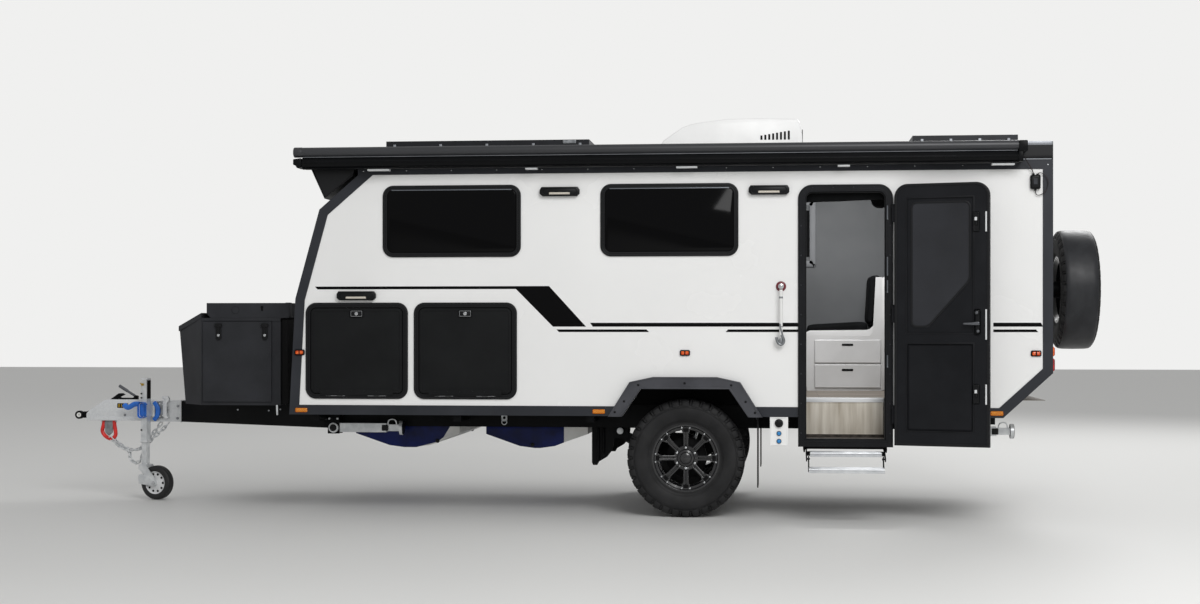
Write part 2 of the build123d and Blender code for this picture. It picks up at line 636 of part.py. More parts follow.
def leg_bracket(x, side):
    """Two ears on the rail's outer face, with the pin that a stabiliser leg turns on."""
    face = RAIL_Y + RAIL_WIDTH / 2
    ear_z = (LEG_Z - 40, RAIL_Z + 110)
    inner = block((x - 40, x + 40), (face, LEG_Y - LEG_TUBE / 2 - 1), ear_z)
    outer = block((x - 40, x + 40), (LEG_Y + LEG_TUBE / 2 + 1, LEG_Y + LEG_TUBE / 2 + 9), ear_z)
    top = block((x - 40, x + 40), (face, LEG_Y + LEG_TUBE / 2 + 9), (RAIL_Z + 102, RAIL_Z + 110))
    pin = rod_y(x, LEG_Z, 10, (face, LEG_Y + LEG_TUBE / 2 + 9))
    bracket = inner + outer + top + pin
    return bracket if side > 0 else mirror(bracket, Plane.XZ)


def pivot_hanger(side):
    """Hanger under the rail that carries a trailing arm's pivot bolt."""
    half = ARM_WIDTH / 2
    x = (PIVOT_X - 50, PIVOT_X + 50)
    inner = block(x, (ARM_Y - half - 11, ARM_Y - half - 1), (PIVOT_Z - 50, FLOOR_Z - CROSS_DEPTH / 2))
    outer = block(x, (ARM_Y + half + 1, ARM_Y + half + 11), (PIVOT_Z - 50, RAIL_Z + 60))
    outer += block(x, (ARM_Y + half + 1, RAIL_Y), (RAIL_Z, RAIL_Z + 60))
    head = block(x, (ARM_Y - half - 11, RAIL_Y), (FLOOR_Z - CROSS_DEPTH / 2 - 10, FLOOR_Z - CROSS_DEPTH / 2))
    pin = rod_y(PIVOT_X, PIVOT_Z, 12, (ARM_Y - half - 11, ARM_Y + half + 11))
    gusset = side_prism(
        [(648, RAIL_Z), (648, 330), (640, 312), (612, 312), (600, 335), (545, 368), (512, 410), (500, 470), (500, RAIL_Z)],
        (ARM_Y + half + 1, ARM_Y + half + 11),
    )
    hanger = inner + outer + head + pin + gusset
    return hanger if side > 0 else mirror(hanger, Plane.XZ)


def step_arms():
    """Fixed arms of the entry step, from the rail down and out to the hinge pins."""
    y, z = STEP_HINGE
    arms = block(STEP_X, (RAIL_Y, RAIL_Y + 30), (z - 20, z + 15))
    for x, inward in zip(STEP_X, (1, -1)):
        arms += block((x - 4, x + 4), (RAIL_Y, RAIL_Y + 60), (z - 22, RAIL_Z + 20))
        arms += block((x - 4, x + 4), (RAIL_Y, y + 20), (z - 22, z + 20))
        arms += rod_x(y, z, STEP_PIN_R, sorted((x, x + inward * 20)))
    return arms


def step_link(x, start, end):
    """Flat side link of the folding step between two (y, z) points."""
    length = hypot(end[0] - start[0], end[1] - start[1])
    turn = degrees(atan2(end[1] - start[1], end[0] - start[0]))
    return Pos(0, *start) * Rot(turn, 0, 0) * block(x, (-14, length + 14), (-12, 12))


def step_upper():
    """Upper tread with its side links, hinged under the doorway."""
    hinge, knee = STEP_HINGE, STEP_KNEE
    part = block((STEP_X[0] + 36, STEP_X[1] - 36), (hinge[0] + 15, hinge[0] + 140), (hinge[1] - 40, hinge[1] - 15))
    part -= block((STEP_X[0] + 40, STEP_X[1] - 40), (hinge[0] + 19, hinge[0] + 136), (hinge[1] - 45, hinge[1] - 20))
    for x, inward in zip(STEP_X, (1, -1)):
        side = sorted((x + inward * 9, x + inward * 17))
        part += step_link(side, hinge, knee)
        part += block(sorted((x + inward * 9, x + inward * 37)), (hinge[0] + 20, hinge[0] + 80), (hinge[1] - 40, hinge[1] - 15))
        part += rod_x(*knee, STEP_PIN_R, sorted((x + inward * 9, x + inward * 34)))
        part -= rod_x(*hinge, STEP_PIN_R + 0.05, sorted((x, x + inward * 20)))
    return part


def step_lower():
    """Lower tread with its side links, which folds up over the upper tread."""
    knee = STEP_KNEE
    part = block((STEP_X[0] + 26, STEP_X[1] - 26), (knee[0] + 25, knee[0] + STEP_FRONT), (knee[1] - 75, knee[1] - 50))
    part -= block((STEP_X[0] + 30, STEP_X[1] - 30), (knee[0] + 29, knee[0] + 166), (knee[1] - 80, knee[1] - 55))
    for x, inward in zip(STEP_X, (1, -1)):
        side = sorted((x + inward * 22, x + inward * 30))
        part += step_link(side, knee, (knee[0] + 50, knee[1] - 62))
        part -= rod_x(*knee, STEP_PIN_R + 0.05, sorted((x + inward * 9, x + inward * 34)))
    return part


def stabiliser_leg(end, side):
    """Drop-down leg, folded up: a square tube with an inner tube and a foot."""
    x = LEG_PIVOTS[end]
    half = LEG_TUBE / 2
    leg = block((x - LEG_LENGTH + 110, x + 30), (LEG_Y - half, LEG_Y + half), (LEG_Z - half, LEG_Z + half))
    leg += block((x - LEG_LENGTH + 20, x - LEG_LENGTH + 112), (LEG_Y - 22, LEG_Y + 22), (LEG_Z - 22, LEG_Z + 22))
    leg += rod_x(LEG_Y, LEG_Z, 48, (x - LEG_LENGTH, x - LEG_LENGTH + 21))
    leg -= rod_y(x, LEG_Z, 10.05, (LEG_Y - half - 5, LEG_Y + half + 5))
    return leg if side > 0 else mirror(leg, Plane.XZ)


def water_tanks():
    """Two tanks slung across the chassis, with sloping ends."""
    tanks = []
    for front, low_front, low_rear, rear in ((2263, 1930, 1850, 1550), (1364, 1036, 1000, 675)):
        outline = [
            (front, FLOOR_Z - 12), (front, 520), (low_front + 100, 440), (low_front, 427),
            (low_rear, 427), (low_rear - 100, 440), (rear, 520), (rear, FLOOR_Z - 12),
        ]
        tanks.append(side_prism(outline, (-RAIL_Y + RAIL_WIDTH / 2, RAIL_Y - RAIL_WIDTH / 2)))
    return group(*tanks)


# ---- Drawbar ----
def drawbar_head():
    """Galvanised block that joins the converging rails to the coupling."""
    return block(
        (DRAWBAR_REAR_X, DRAWBAR_FRONT_X), (-DRAWBAR_HALF, DRAWBAR_HALF), (AFRAME_TOP_Z - RAIL_DEPTH, AFRAME_TOP_Z)
    )


def coupling_body():
    """Coupling housing, with a long sloping nose."""
    low, high = 576.0, 714.0
    outline = [
        (DRAWBAR_FRONT_X, low), (COUPLING_TIP_X, low), (COUPLING_TIP_X, low + 36),
        (4270, high), (DRAWBAR_FRONT_X, high),
    ]
    return side_prism(outline, (-58, 58))


def tow_ring():
    """Eye that the towing pin passes through, on a short shank."""
    eye = rod_y(TOW_EYE_X, TOW_EYE_Z, TOW_EYE_R, (-16, 16))
    eye += block((COUPLING_TIP_X, TOW_EYE_X), (-16, 16), (TOW_EYE_Z - 14, TOW_EYE_Z + 14))
    return eye - rod_y(TOW_EYE_X, TOW_EYE_Z, TOW_PIN_R, (-40, 40))


def handbrake_lever():
    top = 714.0
    base = block((3990, 4190), (-12, 12), (top, top + 14))
    lever = Pos(4075, 0, top + 10) * Rot(0, -33, 0) * block((0, 150), (-9, 9), (-9, 9))
    return base + lever


# ---- Jockey wheel ----
def at_jockey(part):
    return Pos(JOCKEY_X, JOCKEY_Y, 0) * Rot(0, 0, JOCKEY_TURN) * part


def square_tube(outer, inner, z):
    return block((-outer, outer), (-outer, outer), z) - block((-inner, inner), (-inner, inner), (z[0] - 5, z[1] + 5))


def jockey_tube():
    """Outer tube and the swivel bracket that holds it on the drawbar's side."""
    half = JOCKEY_TUBE / 2
    tube = at_jockey(square_tube(half, half - JOCKEY_TUBE_WALL, JOCKEY_TUBE_Z))
    plate = block((JOCKEY_X - 55, JOCKEY_X + 10), (DRAWBAR_HALF, JOCKEY_Y - half - 4), (590, 690))
    clamp = at_jockey(block((-half - 8, half + 8), (-half - 8, half + 8), (600, 680)))
    clamp -= at_jockey(block((-half + 1, half - 1), (-half + 1, half - 1), (590, 690)))
    disc = rod_y(JOCKEY_X - 75, 640, 48, (DRAWBAR_HALF, DRAWBAR_HALF + 14))
    return tube + clamp + plate + disc


def jockey_leg():
    half = JOCKEY_TUBE / 2 - JOCKEY_TUBE_WALL - 1.0
    return at_jockey(square_tube(half, half - 3, JOCKEY_LEG_Z) + block((-half, half), (-half, half), (JOCKEY_LEG_Z[0], JOCKEY_LEG_Z[0] + 10)))


def jockey_fork():
    """Swivelling fork that trails the wheel behind the leg."""
    half = JOCKEY_WHEEL_WIDTH / 2
    top = JOCKEY_LEG_Z[0] - FIT
    fork = rod_z(0, 0, 30, (top - 14, top))
    fork += block((-28, 28), (-half - 12, half + 12), (top - 22, top - 10))
    for side in (-1, 1):
        y = (side * (half + 6), side * (half + 12))
        arm = side_prism(
            [(28, top - 10), (28, top - 45), (-JOCKEY_TRAIL - 20, JOCKEY_WHEEL_R - 20), (-JOCKEY_TRAIL - 20, JOCKEY_WHEEL_R + 20), (-28, top - 10)],
            (min(y), max(y)),
        )
        fork += arm
    fork += rod_y(-JOCKEY_TRAIL, JOCKEY_WHEEL_R, 8, (-half - 12, half + 12))
    return at_jockey(fork)


def jockey_wheel():
    half = JOCKEY_WHEEL_WIDTH / 2
    r = JOCKEY_WHEEL_R
    wheel = spun([(8.05, -half - 4), (8.05, half + 4), (20, half + 4), (24, half - 6), (70, half - 12), (80, half - 2), (r - 10, half), (r, half - 14),
                  (r, -half + 14), (r - 10, -half), (80, -half + 2), (70, -half + 12), (24, -half + 6), (20, -half - 4)])
    return at_jockey(Pos(-JOCKEY_TRAIL, 0, r) * wheel)


# ---- Front box ----
def box_plan(shrink):
    return [
        (BOX_REAR_X + shrink, BOX_HALF - shrink), (BOX_CORNER_X, BOX_HALF - shrink),
        (BOX_NOSE_X - shrink, BOX_NOSE_HALF - shrink), (BOX_NOSE_X - shrink, -BOX_NOSE_HALF + shrink),
        (BOX_CORNER_X, -BOX_HALF + shrink), (BOX_REAR_X + shrink, -BOX_HALF + shrink),
    ]


def box_side(shrink):
    return [
        (BOX_REAR_X + shrink, AFRAME_TOP_Z + shrink), (BOX_NOSE_FOOT_X - shrink, AFRAME_TOP_Z + shrink),
        (BOX_NOSE_X - shrink, BOX_NOSE_Z),
        (BOX_CORNER_X, BOX_TOP_Z), (BOX_REAR_X + shrink, BOX_TOP_Z),
    ]


def front_box():
    """Storage box on the drawbar, open at the top, in the nose and on both sides."""
    body = plan_prism(box_plan(0), (AFRAME_TOP_Z, BOX_TOP_Z)) & side_prism(box_side(0), (-BOX_HALF, BOX_HALF))
    space = plan_prism(box_plan(BOX_WALL), (AFRAME_TOP_Z + BOX_WALL, BOX_TOP_Z + 20))
    room = box_side(BOX_WALL)
    room = room[:3] + [(BOX_CORNER_X, BOX_TOP_Z + 20), (BOX_REAR_X + BOX_WALL, BOX_TOP_Z + 20)]
    space = space & side_prism(room, (-BOX_HALF, BOX_HALF))
    body -= space
    body += block((BOX_CORNER_X - 22, BOX_CORNER_X - 14), (-BOX_HALF + 1, BOX_HALF - 1), (AFRAME_TOP_Z + 1, BOX_TOP_Z))
    for side in (-1, 1):
        x0, x1, z0, z1 = BOX_DOOR
        body -= block((x0, x1), (side * (BOX_HALF - BOX_WALL - 5), side * (BOX_HALF + 5)), (z0, z1))
    return body


def box_door(side):
    """Drop-down side door of the front box, lapped over its opening."""
    x0, x1, z0, z1 = BOX_DOOR
    leaf = block((x0 - 15, x1 + 15), (BOX_HALF + FIT, BOX_HALF + 12), (z0 - 15, z1 + 15))
    return leaf if side > 0 else mirror(leaf, Plane.XZ)


def box_tray_lid():
    """Deep lid over the rear part of the front box."""
    z0 = BOX_TOP_Z + FIT
    outer = side_prism(
        [(TRAY_X[0], z0), (TRAY_X[1] - 30, z0), (TRAY_X[1], z0 + 30), (TRAY_X[1], z0 + TRAY_DEPTH), (TRAY_X[0], z0 + TRAY_DEPTH)],
        (-BOX_HALF, BOX_HALF),
    )
    return outer - block((TRAY_X[0] + 8, TRAY_X[1] - 40), (-BOX_HALF + 8, BOX_HALF - 8), (z0 - 5, z0 + TRAY_DEPTH - 8))


def box_nose_lid():
    """Sloping lid over the nose of the front box."""
    drop = (BOX_TOP_Z - BOX_NOSE_Z) / (BOX_NOSE_X - BOX_CORNER_X)
    x0, x1 = BOX_CORNER_X + 2, BOX_NOSE_X + 8
    z0 = BOX_TOP_Z + FIT
    side = side_prism(
        [(x0, z0 - drop * 2), (x1, z0 - drop * (x1 - BOX_CORNER_X)), (x1, z0 - drop * (x1 - BOX_CORNER_X) + BOX_LID), (x0, z0 - drop * 2 + BOX_LID)],
        (-BOX_HALF, BOX_HALF),
    )
    plan = [
        (x0, BOX_HALF), (BOX_NOSE_X + 8, BOX_NOSE_HALF + 2), (BOX_NOSE_X + 8, -BOX_NOSE_HALF - 2), (x0, -BOX_HALF),
    ]
    return side & plan_prism(plan, (BOX_NOSE_Z - 50, BOX_TOP_Z + 60))


# ---- Roof ----
def roof():
    """Pop-top roof: a sandwich panel on a deep edge frame."""
    outline = [
        (REAR_X - TRIM, ROOF_Z), (ROOF_FRONT_X, ROOF_Z), (ROOF_FRONT_X - ROOF_NOSE * 0.4, ROOF_TOP_Z - 40),
        (ROOF_FRONT_X - ROOF_NOSE, ROOF_TOP_Z), (REAR_X + 20, ROOF_TOP_Z), (REAR_X - TRIM, ROOF_TOP_Z - 24),
    ]
    shell = side_prism(outline, (-HALF_WIDTH - TRIM, HALF_WIDTH + TRIM))
    shell -= block(
        (REAR_X + ROOF_FRAME, FRONT_TOP_X - ROOF_FRAME),
        (-HALF_WIDTH + ROOF_FRAME, HALF_WIDTH - ROOF_FRAME),
        (ROOF_Z - 10, ROOF_TOP_Z - ROOF_SKIN),
    )
    return shell


def roof_peak():
    """Moulded peak under the roof's front overhang, open towards the roof."""
    outline = [(ROOF_FRONT_X, ROOF_Z), PEAK_TIP, PEAK_REAR, (PEAK_REAR[0] - 16, ROOF_Z)]
    inner = [(ROOF_FRONT_X - 12, ROOF_Z + 10), (PEAK_TIP[0] - 2, PEAK_TIP[1] + 16), (PEAK_REAR[0] + 6, PEAK_REAR[1] + 6), (PEAK_REAR[0] - 4, ROOF_Z + 10)]
    shell = side_prism(outline, (-HALF_WIDTH - TRIM, HALF_WIDTH + TRIM))
    return shell - side_prism(inner, (-HALF_WIDTH + 4, HALF_WIDTH - 4))


def awning():
    """Awning case and roller along the roof's left edge, with end caps."""
    y0 = HALF_WIDTH + TRIM
    x0, x1 = AWNING_X
    z_mid = ROOF_TOP_Z - AWNING_R - 2
    case = block((x0 + 40, x1 - 40), (y0, y0 + AWNING_OUT - 50), (ROOF_Z - 23, ROOF_Z + 40))
    case += rod_x(y0 + AWNING_OUT - AWNING_R, z_mid, AWNING_R, (x0 + 40, x1 - 40))
    case += block((x0 + 40, x1 - 40), (y0, y0 + 40), (ROOF_Z + 30, ROOF_TOP_Z - 18))
    for x in ((x0, x0 + 42), (x1 - 42, x1)):
        case += block(x, (y0, y0 + AWNING_OUT), (ROOF_Z - 30, ROOF_TOP_Z - 2))
    return case


def solar_panels():
    """Framed panels on low rails on the roof."""
    panels = []
    for x in ((651, 2025), (-2147, -1472)):
        panel = block(x, (-800, 800), (ROOF_TOP_Z + 36, ROOF_TOP_Z + 71))
        panel -= block((x[0] + 30, x[1] - 30), (-770, 770), (ROOF_TOP_Z + 30, ROOF_TOP_Z + 65))
        for foot_x in (x[0] + 60, (x[0] + x[1]) / 2, x[1] - 60):
            for foot_y in (-785, 785):
                panel += block((foot_x - 20, foot_x + 20), (foot_y - 15, foot_y + 15), (ROOF_TOP_Z, ROOF_TOP_Z + 37))
        panels.append(panel)
    return group(*panels)


def air_conditioner():
    """Roof air conditioner, with a sloping front."""
    top = ROOF_TOP_Z + 254
    outline = [(213, ROOF_TOP_Z), (205, ROOF_TOP_Z + 110), (14, top - 34), (-250, top), (-735, top - 5), (-765, top - 60), (-765, ROOF_TOP_Z)]
    return side_prism(outline, (-340, 340))


def pop_top_skirt():
    """Fabric ring, folded between the wall-top rail and the roof."""
    inset = ROOF_FRAME + FIT
    x0, x1 = REAR_X + inset, FRONT_TOP_X - inset
    y = HALF_WIDTH - inset
    ring = block((x0, x1), (-y, y), (WALL_TOP_Z + 8, ROOF_TOP_Z - ROOF_SKIN - 6))
    return ring - block((x0 + 4, x1 - 4), (-y + 4, y - 4), (WALL_TOP_Z, ROOF_TOP_Z - ROOF_SKIN))


# ---- Rear ----
def spare_placed(part):
    return Pos(SPARE_X, SPARE_Y, SPARE_Z) * Rot(0, 0, 90) * part


def spare_carrier():
    """Bracket on the rear wall that carries the spare wheel."""
    x = REAR_X
    post = block((x - 8, x), (SPARE_Y - 110, SPARE_Y + 110), (SPARE_Z - 160, SPARE_Z + 160))
    post += rod_x(SPARE_Y, SPARE_Z, 55, (SPARE_X - 52, x - 4))
    return post


# ---- Fittings ----
def grab_handle():
    """Assist handle beside the door."""
    x, y = -618.0, HALF_WIDTH
    bar = rod_z(x, y + 58, 15, (1140, 1520))
    for z in ((1125, 1175), (1487, 1537)):
        bar += block((x - 20, x + 20), (y, y + 66), z)
    return bar


def lamps():
    """Lamp housings on the walls and sills."""
    pieces = []
    y = HALF_WIDTH
    for x, z, sides in ((815, 2122, (1, -1)), (-541, 2122, (1,)), (-1150, 2122, (-1,)), (2165, 1446, (1, -1))):
        for side in sides:
            pieces.append(block((x - 130, x + 130), (side * y, side * (y + 40)), (z - 30, z + 30)))
    for x in (0, -2226, 2549):
        side_lamp = block((x - 32, x + 32), (y + (TRIM if x > 0 else 0), y + 22), (1055, 1091))
        pieces += [side_lamp, mirror(side_lamp, Plane.XZ)]
    for side in (-1, 1):
        across = (side * (HALF_WIDTH - 290), side * (HALF_WIDTH - 150))
        pieces.append(block((REAR_X - 40, REAR_X), across, (940, 1125)))
    pieces.append(block((-2252, -2188), (y, y + 42), (LEAD_FOOT_Z - 100, LEAD_FOOT_Z)))
    return group(*pieces)


def service_panel():
    """Water filler panel that hangs below the sill, on a bracket from the outrigger."""
    panel = block((-663, -547), (HALF_WIDTH - 8, HALF_WIDTH), (476, SILL_Z))
    panel += block((-645, -595), (INNER_HALF, HALF_WIDTH - 7), (FLOOR_Z - CROSS_DEPTH, SILL_Z - 1))
    return panel


def awning_lead():
    """Lead from the junction box on the wall to the awning's end cap."""
    return rod_z(-2220.0, HALF_WIDTH + 20, 3.5, (LEAD_FOOT_Z, LEAD_FOOT_Z + 70))


# ---- Interior ----
def dinette_bench():
    """Dinette bench across the aisle from the door: a base that turns up behind the backrest."""
    rear, front = BENCH_X
    outline = [
        (rear, FLOOR_TOP_Z), (front - 25, FLOOR_TOP_Z), (front, FLOOR_TOP_Z + 130), (front, BENCH_Z - 40),
        (front - 25, BENCH_Z), (rear + 90, BENCH_Z), (rear + 65, BENCH_Z + 40), (rear + 45, BENCH_BACK_Z), (rear, BENCH_BACK_Z),
    ]
    bench = side_prism(outline, (-INNER_HALF, BENCH_Y))
    within = (-INNER_HALF - 5, BENCH_Y - BENCH_BOARD)
    bench -= block((rear + BENCH_BOARD, front - 60), within, (FLOOR_TOP_Z - 5, BENCH_Z - BENCH_BOARD))
    bench -= side_prism(outline[4:8] + [(rear + BENCH_BOARD, BENCH_BACK_Z), (rear + BENCH_BOARD, BENCH_Z)], within)
    return bench


def cushions():
    """Dinette cushions and the front mattress."""
    rear, front = BENCH_X
    y = (-INNER_HALF + 10, BENCH_Y - 3)
    seat_cushion = block((rear + 97, front - 8), y, (BENCH_Z, BENCH_Z + CUSHION))
    low = [(rear + 93, BENCH_Z + 2), (rear + 68, BENCH_Z + 42), (rear + 48, BENCH_BACK_Z + 5)]
    back_cushion = side_prism(low + [(px + CUSHION, pz) for px, pz in reversed(low)], y)
    back_cushion -= block((rear, front), (-HALF_WIDTH, HALF_WIDTH), (BENCH_Z - 10, BENCH_Z + CUSHION + FIT))
    mattress = block((1010, 2420), (-INNER_HALF + 40, INNER_HALF - 40), (1440, 1560))
    return group(seat_cushion, back_cushion, mattress)


def bed_base():
    """Bed top and bulkhead over the tunnel storage at the front."""
    top = block((1000, 2520), (-INNER_HALF, INNER_HALF), (1410, 1440))
    bulkhead = block((1000, 1020), (-INNER_HALF, INNER_HALF), (FLOOR_TOP_Z, 1411))
    return (top + bulkhead) & cabin_space(INNER_HALF)


def kitchen_bench():
    """Kitchen bench along the left wall, forward of the door."""
    bench = block((-600, 960), (480, INNER_HALF), (FLOOR_TOP_Z, 1660))
    bench -= block((-585, 945), (495, INNER_HALF + 5), (FLOOR_TOP_Z - 5, 1630))
    well = (TYRE_OUT_Y - TYRE_WIDTH - 40 - FIT, INNER_HALF + 5)
    bench -= block((-ARCH_FOOT - 20 - FIT, ARCH_FOOT + 20 + FIT), well, (FLOOR_TOP_Z - 5, ARCH_TOP_Z + 70 + FIT))
    return bench


FRONT, REAR = end_walls()

PARTS = {
    "chassis_frame": chassis_frame,
    "floor": floor,
    "left_wall": left_wall,
    "right_wall": right_wall,
    "front_wall": lambda: FRONT,
    "rear_wall": lambda: REAR,
    "body_trims": body_trims,
    "window_frames": window_frames,
    "window_glass": window_glass,
    "hatch_frames": hatch_frames,
    "left_front_hatch": lambda: hatch_leaf(HATCHES[0], 1),
    "left_rear_hatch": lambda: hatch_leaf(HATCHES[1], 1),
    "right_hatch": lambda: hatch_leaf(HATCHES[0], -1),
    "door_frame": lambda: group(door_frame(), *door_hinges()),
    "entry_door": entry_door,
    "door_glass": door_glass,
    "wheel_arch_flares": wheel_arch_flares,
    "wheel_wells": wheel_wells,
    "mud_flaps": mud_flaps,
    "left_tyre": lambda: road_wheel(1, True),
    "left_rim": lambda: road_wheel(1, False),
    "right_tyre": lambda: road_wheel(-1, True),
    "right_rim": lambda: road_wheel(-1, False),
    "suspension_arms": suspension_arms,
    "suspension_springs": suspension_springs,
    "step_upper": step_upper,
    "step_lower": step_lower,
    "front_left_leg": lambda: stabiliser_leg("front", 1),
    "front_right_leg": lambda: stabiliser_leg("front", -1),
    "rear_left_leg": lambda: stabiliser_leg("rear", 1),
    "rear_right_leg": lambda: stabiliser_leg("rear", -1),
    "water_tanks": water_tanks,
    "drawbar_head": drawbar_head,
    "coupling_body": coupling_body,
    "tow_ring": tow_ring,
    "handbrake_lever": handbrake_lever,
    "jockey_tube": jockey_tube,
    "jockey_leg": jockey_leg,
    "jockey_fork": jockey_fork,
    "jockey_wheel": jockey_wheel,
    "front_box": front_box,
    "left_box_door": lambda: box_door(1),
    "right_box_door": lambda: box_door(-1),
    "box_tray_lid": box_tray_lid,
    "box_nose_lid": box_nose_lid,
    "roof": roof,
    "roof_peak": roof_peak,
    "awning": awning,
    "solar_panels": solar_panels,
    "air_conditioner": air_conditioner,
    "pop_top_skirt": pop_top_skirt,
    "spare_tyre": lambda: spare_placed(spun(tyre_section())),
    "spare_rim": lambda: spare_placed(wheel_rim()),
    "spare_carrier": spare_carrier,
    "grab_handle": grab_handle,
    "lamps": lamps,
    "service_panel": service_panel,
    "cabin_furniture": lambda: group(dinette_bench(), kitchen_bench(), bed_base()),
    "cushions": cushions,
    "awning_lead": awning_lead,
}


def middle():
    """x and y of the middle of the whole footprint, from the tow eye to the spare tyre and
    from the lower step's front edge to the right flare."""
    x = (TOW_EYE_X + TOW_EYE_R + SPARE_X - TYRE_WIDTH / 2) / 2
    return x, (STEP_KNEE[0] + STEP_FRONT - HALF_WIDTH - FLARE_OUT) / 2


def export_parts():
    os.makedirs("parts", exist_ok=True)
    x, y = middle()
    for name, make in PARTS.items():
        export_step(Pos(-x, -y, 0) * make(), f"parts/{name}.step")


export_parts()
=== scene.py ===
import bpy
import json
import math
from mathutils import Matrix, Vector


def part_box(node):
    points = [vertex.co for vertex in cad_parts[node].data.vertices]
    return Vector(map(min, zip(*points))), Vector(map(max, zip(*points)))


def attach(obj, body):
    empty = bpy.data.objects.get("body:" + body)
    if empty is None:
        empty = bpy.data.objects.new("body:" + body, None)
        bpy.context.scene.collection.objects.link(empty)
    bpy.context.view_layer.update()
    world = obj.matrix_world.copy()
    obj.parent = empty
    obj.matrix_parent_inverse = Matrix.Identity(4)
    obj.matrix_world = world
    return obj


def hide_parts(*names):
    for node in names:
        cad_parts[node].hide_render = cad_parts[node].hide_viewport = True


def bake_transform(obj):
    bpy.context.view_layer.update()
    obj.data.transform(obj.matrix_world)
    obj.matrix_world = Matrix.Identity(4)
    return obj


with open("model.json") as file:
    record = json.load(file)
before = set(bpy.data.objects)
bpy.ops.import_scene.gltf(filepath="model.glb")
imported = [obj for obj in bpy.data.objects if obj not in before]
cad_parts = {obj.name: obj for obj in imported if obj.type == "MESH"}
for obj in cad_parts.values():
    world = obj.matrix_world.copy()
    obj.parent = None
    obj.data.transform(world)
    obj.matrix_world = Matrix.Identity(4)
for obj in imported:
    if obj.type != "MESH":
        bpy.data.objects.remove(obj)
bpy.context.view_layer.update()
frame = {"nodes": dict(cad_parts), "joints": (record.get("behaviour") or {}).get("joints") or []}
nodes = frame["nodes"]

# Camera. It stands eleven metres out from the door side, a little behind the axle and at chest
# height, turned slightly towards the coupling. Places in this file are millimetres forward of the
# axle, left of the centreline and up from the floor; spot() gives them in the frame's metres.
joints = {joint["name"]: joint for joint in frame["joints"]}
axle_x = joints["left_wheel_spin"]["pos_m"][0]
wall_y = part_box("left_wall")[1][1]
centre_y = (wall_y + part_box("right_wall")[0][1]) / 2
half_width = (wall_y - centre_y) * 1000


def spot(x, y, z):
    """A place on the caravan, in the frame."""
    return Vector((axle_x + x / 1000, centre_y + y / 1000, z / 1000))


camera = bpy.data.objects.new("camera", bpy.data.cameras.new("camera"))
bpy.context.scene.collection.objects.link(camera)
camera_x, camera_out, eye_height, camera_turn = -617, 11319, 1241, 5.9
camera.location = spot(camera_x, half_width + camera_out, eye_height)
camera.rotation_euler = (math.radians(90), 0, math.radians(180 + camera_turn))
camera.data.lens = 52.5
camera.data.sensor_width = 36
camera.data.shift_y = 0.0208
bpy.context.scene.camera = camera

# Studio. A pale matt floor, an even white surround, a broad soft lamp on each side and a small one
# in the cabin, so that a colour comes out about as it is written.


def linear(code):
    """A colour written as sRGB hex, in linear numbers."""
    parts = [int(code[i:i + 2], 16) / 255 for i in (1, 3, 5)]
    return (*[c / 12.92 if c <= 0.04045 else ((c + 0.055) / 1.055) ** 2.4 for c in parts], 1)


def add_node(material, kind, inputs=None, **settings):
    """A node with its settings, and its sockets given values or links."""
    node = material.node_tree.nodes.new(kind)
    for name, value in settings.items():
        setattr(node, name, value)
    for socket, value in (inputs or {}).items():
        if isinstance(value, bpy.types.NodeSocket):
            material.node_tree.links.new(value, node.inputs[socket])
        else:
            node.inputs[socket].default_value = value
    return node


def only(*pieces):
    """Selects these pieces and nothing else, with the first one active."""
    if bpy.context.object and bpy.context.object.mode != "OBJECT":
        bpy.ops.object.mode_set(mode="OBJECT")
    bpy.ops.object.select_all(action="DESELECT")
    for piece in pieces:
        piece.select_set(True)
    bpy.context.view_layer.objects.active = pieces[0]
    return pieces[0]


only(camera)
bpy.ops.mesh.primitive_plane_add(size=80, location=(0, 0, -0.001))
floor = bpy.context.object
floor.name = "studio_floor"
floor.data.materials.append(bpy.data.materials.new("studio_paint"))
floor.data.materials[0].use_nodes = True
floor_shader = floor.data.materials[0].node_tree.nodes["Principled BSDF"]
floor_shader.inputs["Base Color"].default_value = linear("#DEDEDC")
floor_shader.inputs["Roughness"].default_value = 0.6

world = bpy.data.worlds.new("surround")
world.use_nodes = True
bpy.context.scene.world = world
light_path = add_node(world, "ShaderNodeLightPath")
lit = add_node(world, "ShaderNodeBackground", {"Color": linear("#FFFFFF"), "Strength": 0.5})
seen = add_node(world, "ShaderNodeBackground", {"Color": linear("#F0F0EF"), "Strength": 1.0})
either = add_node(world, "ShaderNodeMixShader", {0: light_path.outputs["Is Camera Ray"], 1: lit.outputs[0],
                                                 2: seen.outputs[0]})
world.node_tree.links.new(either.outputs[0], world.node_tree.nodes["World Output"].inputs["Surface"])


def soft_lamp(name, place, aim, size, power):
    """A square area lamp that points at a place."""
    lamp = bpy.data.objects.new(name, bpy.data.lights.new(name, "AREA"))
    bpy.context.scene.collection.objects.link(lamp)
    lamp.data.size = size
    lamp.data.energy = power
    lamp.location = place
    lamp.rotation_euler = (aim - place).to_track_quat("-Z", "Y").to_euler()


soft_lamp("key_lamp", spot(-3200, 9500, 7000), spot(0, 0, 1000), 5.0, 560)
soft_lamp("back_lamp", spot(-5000, -8000, 7500), spot(0, 0, 1200), 5.0, 420)
soft_lamp("cabin_lamp", spot(-1000, 120, 2200), spot(-1050, -540, 900), 0.9, 24)

bpy.context.scene.view_settings.view_transform = "Standard"

# Walls. Flat panels of glass-fibre sheet bonded to a foam core, with a smooth white gelcoat that
# shows only faint cloudiness and soft waves in its gloss. They are cut out for the openings.


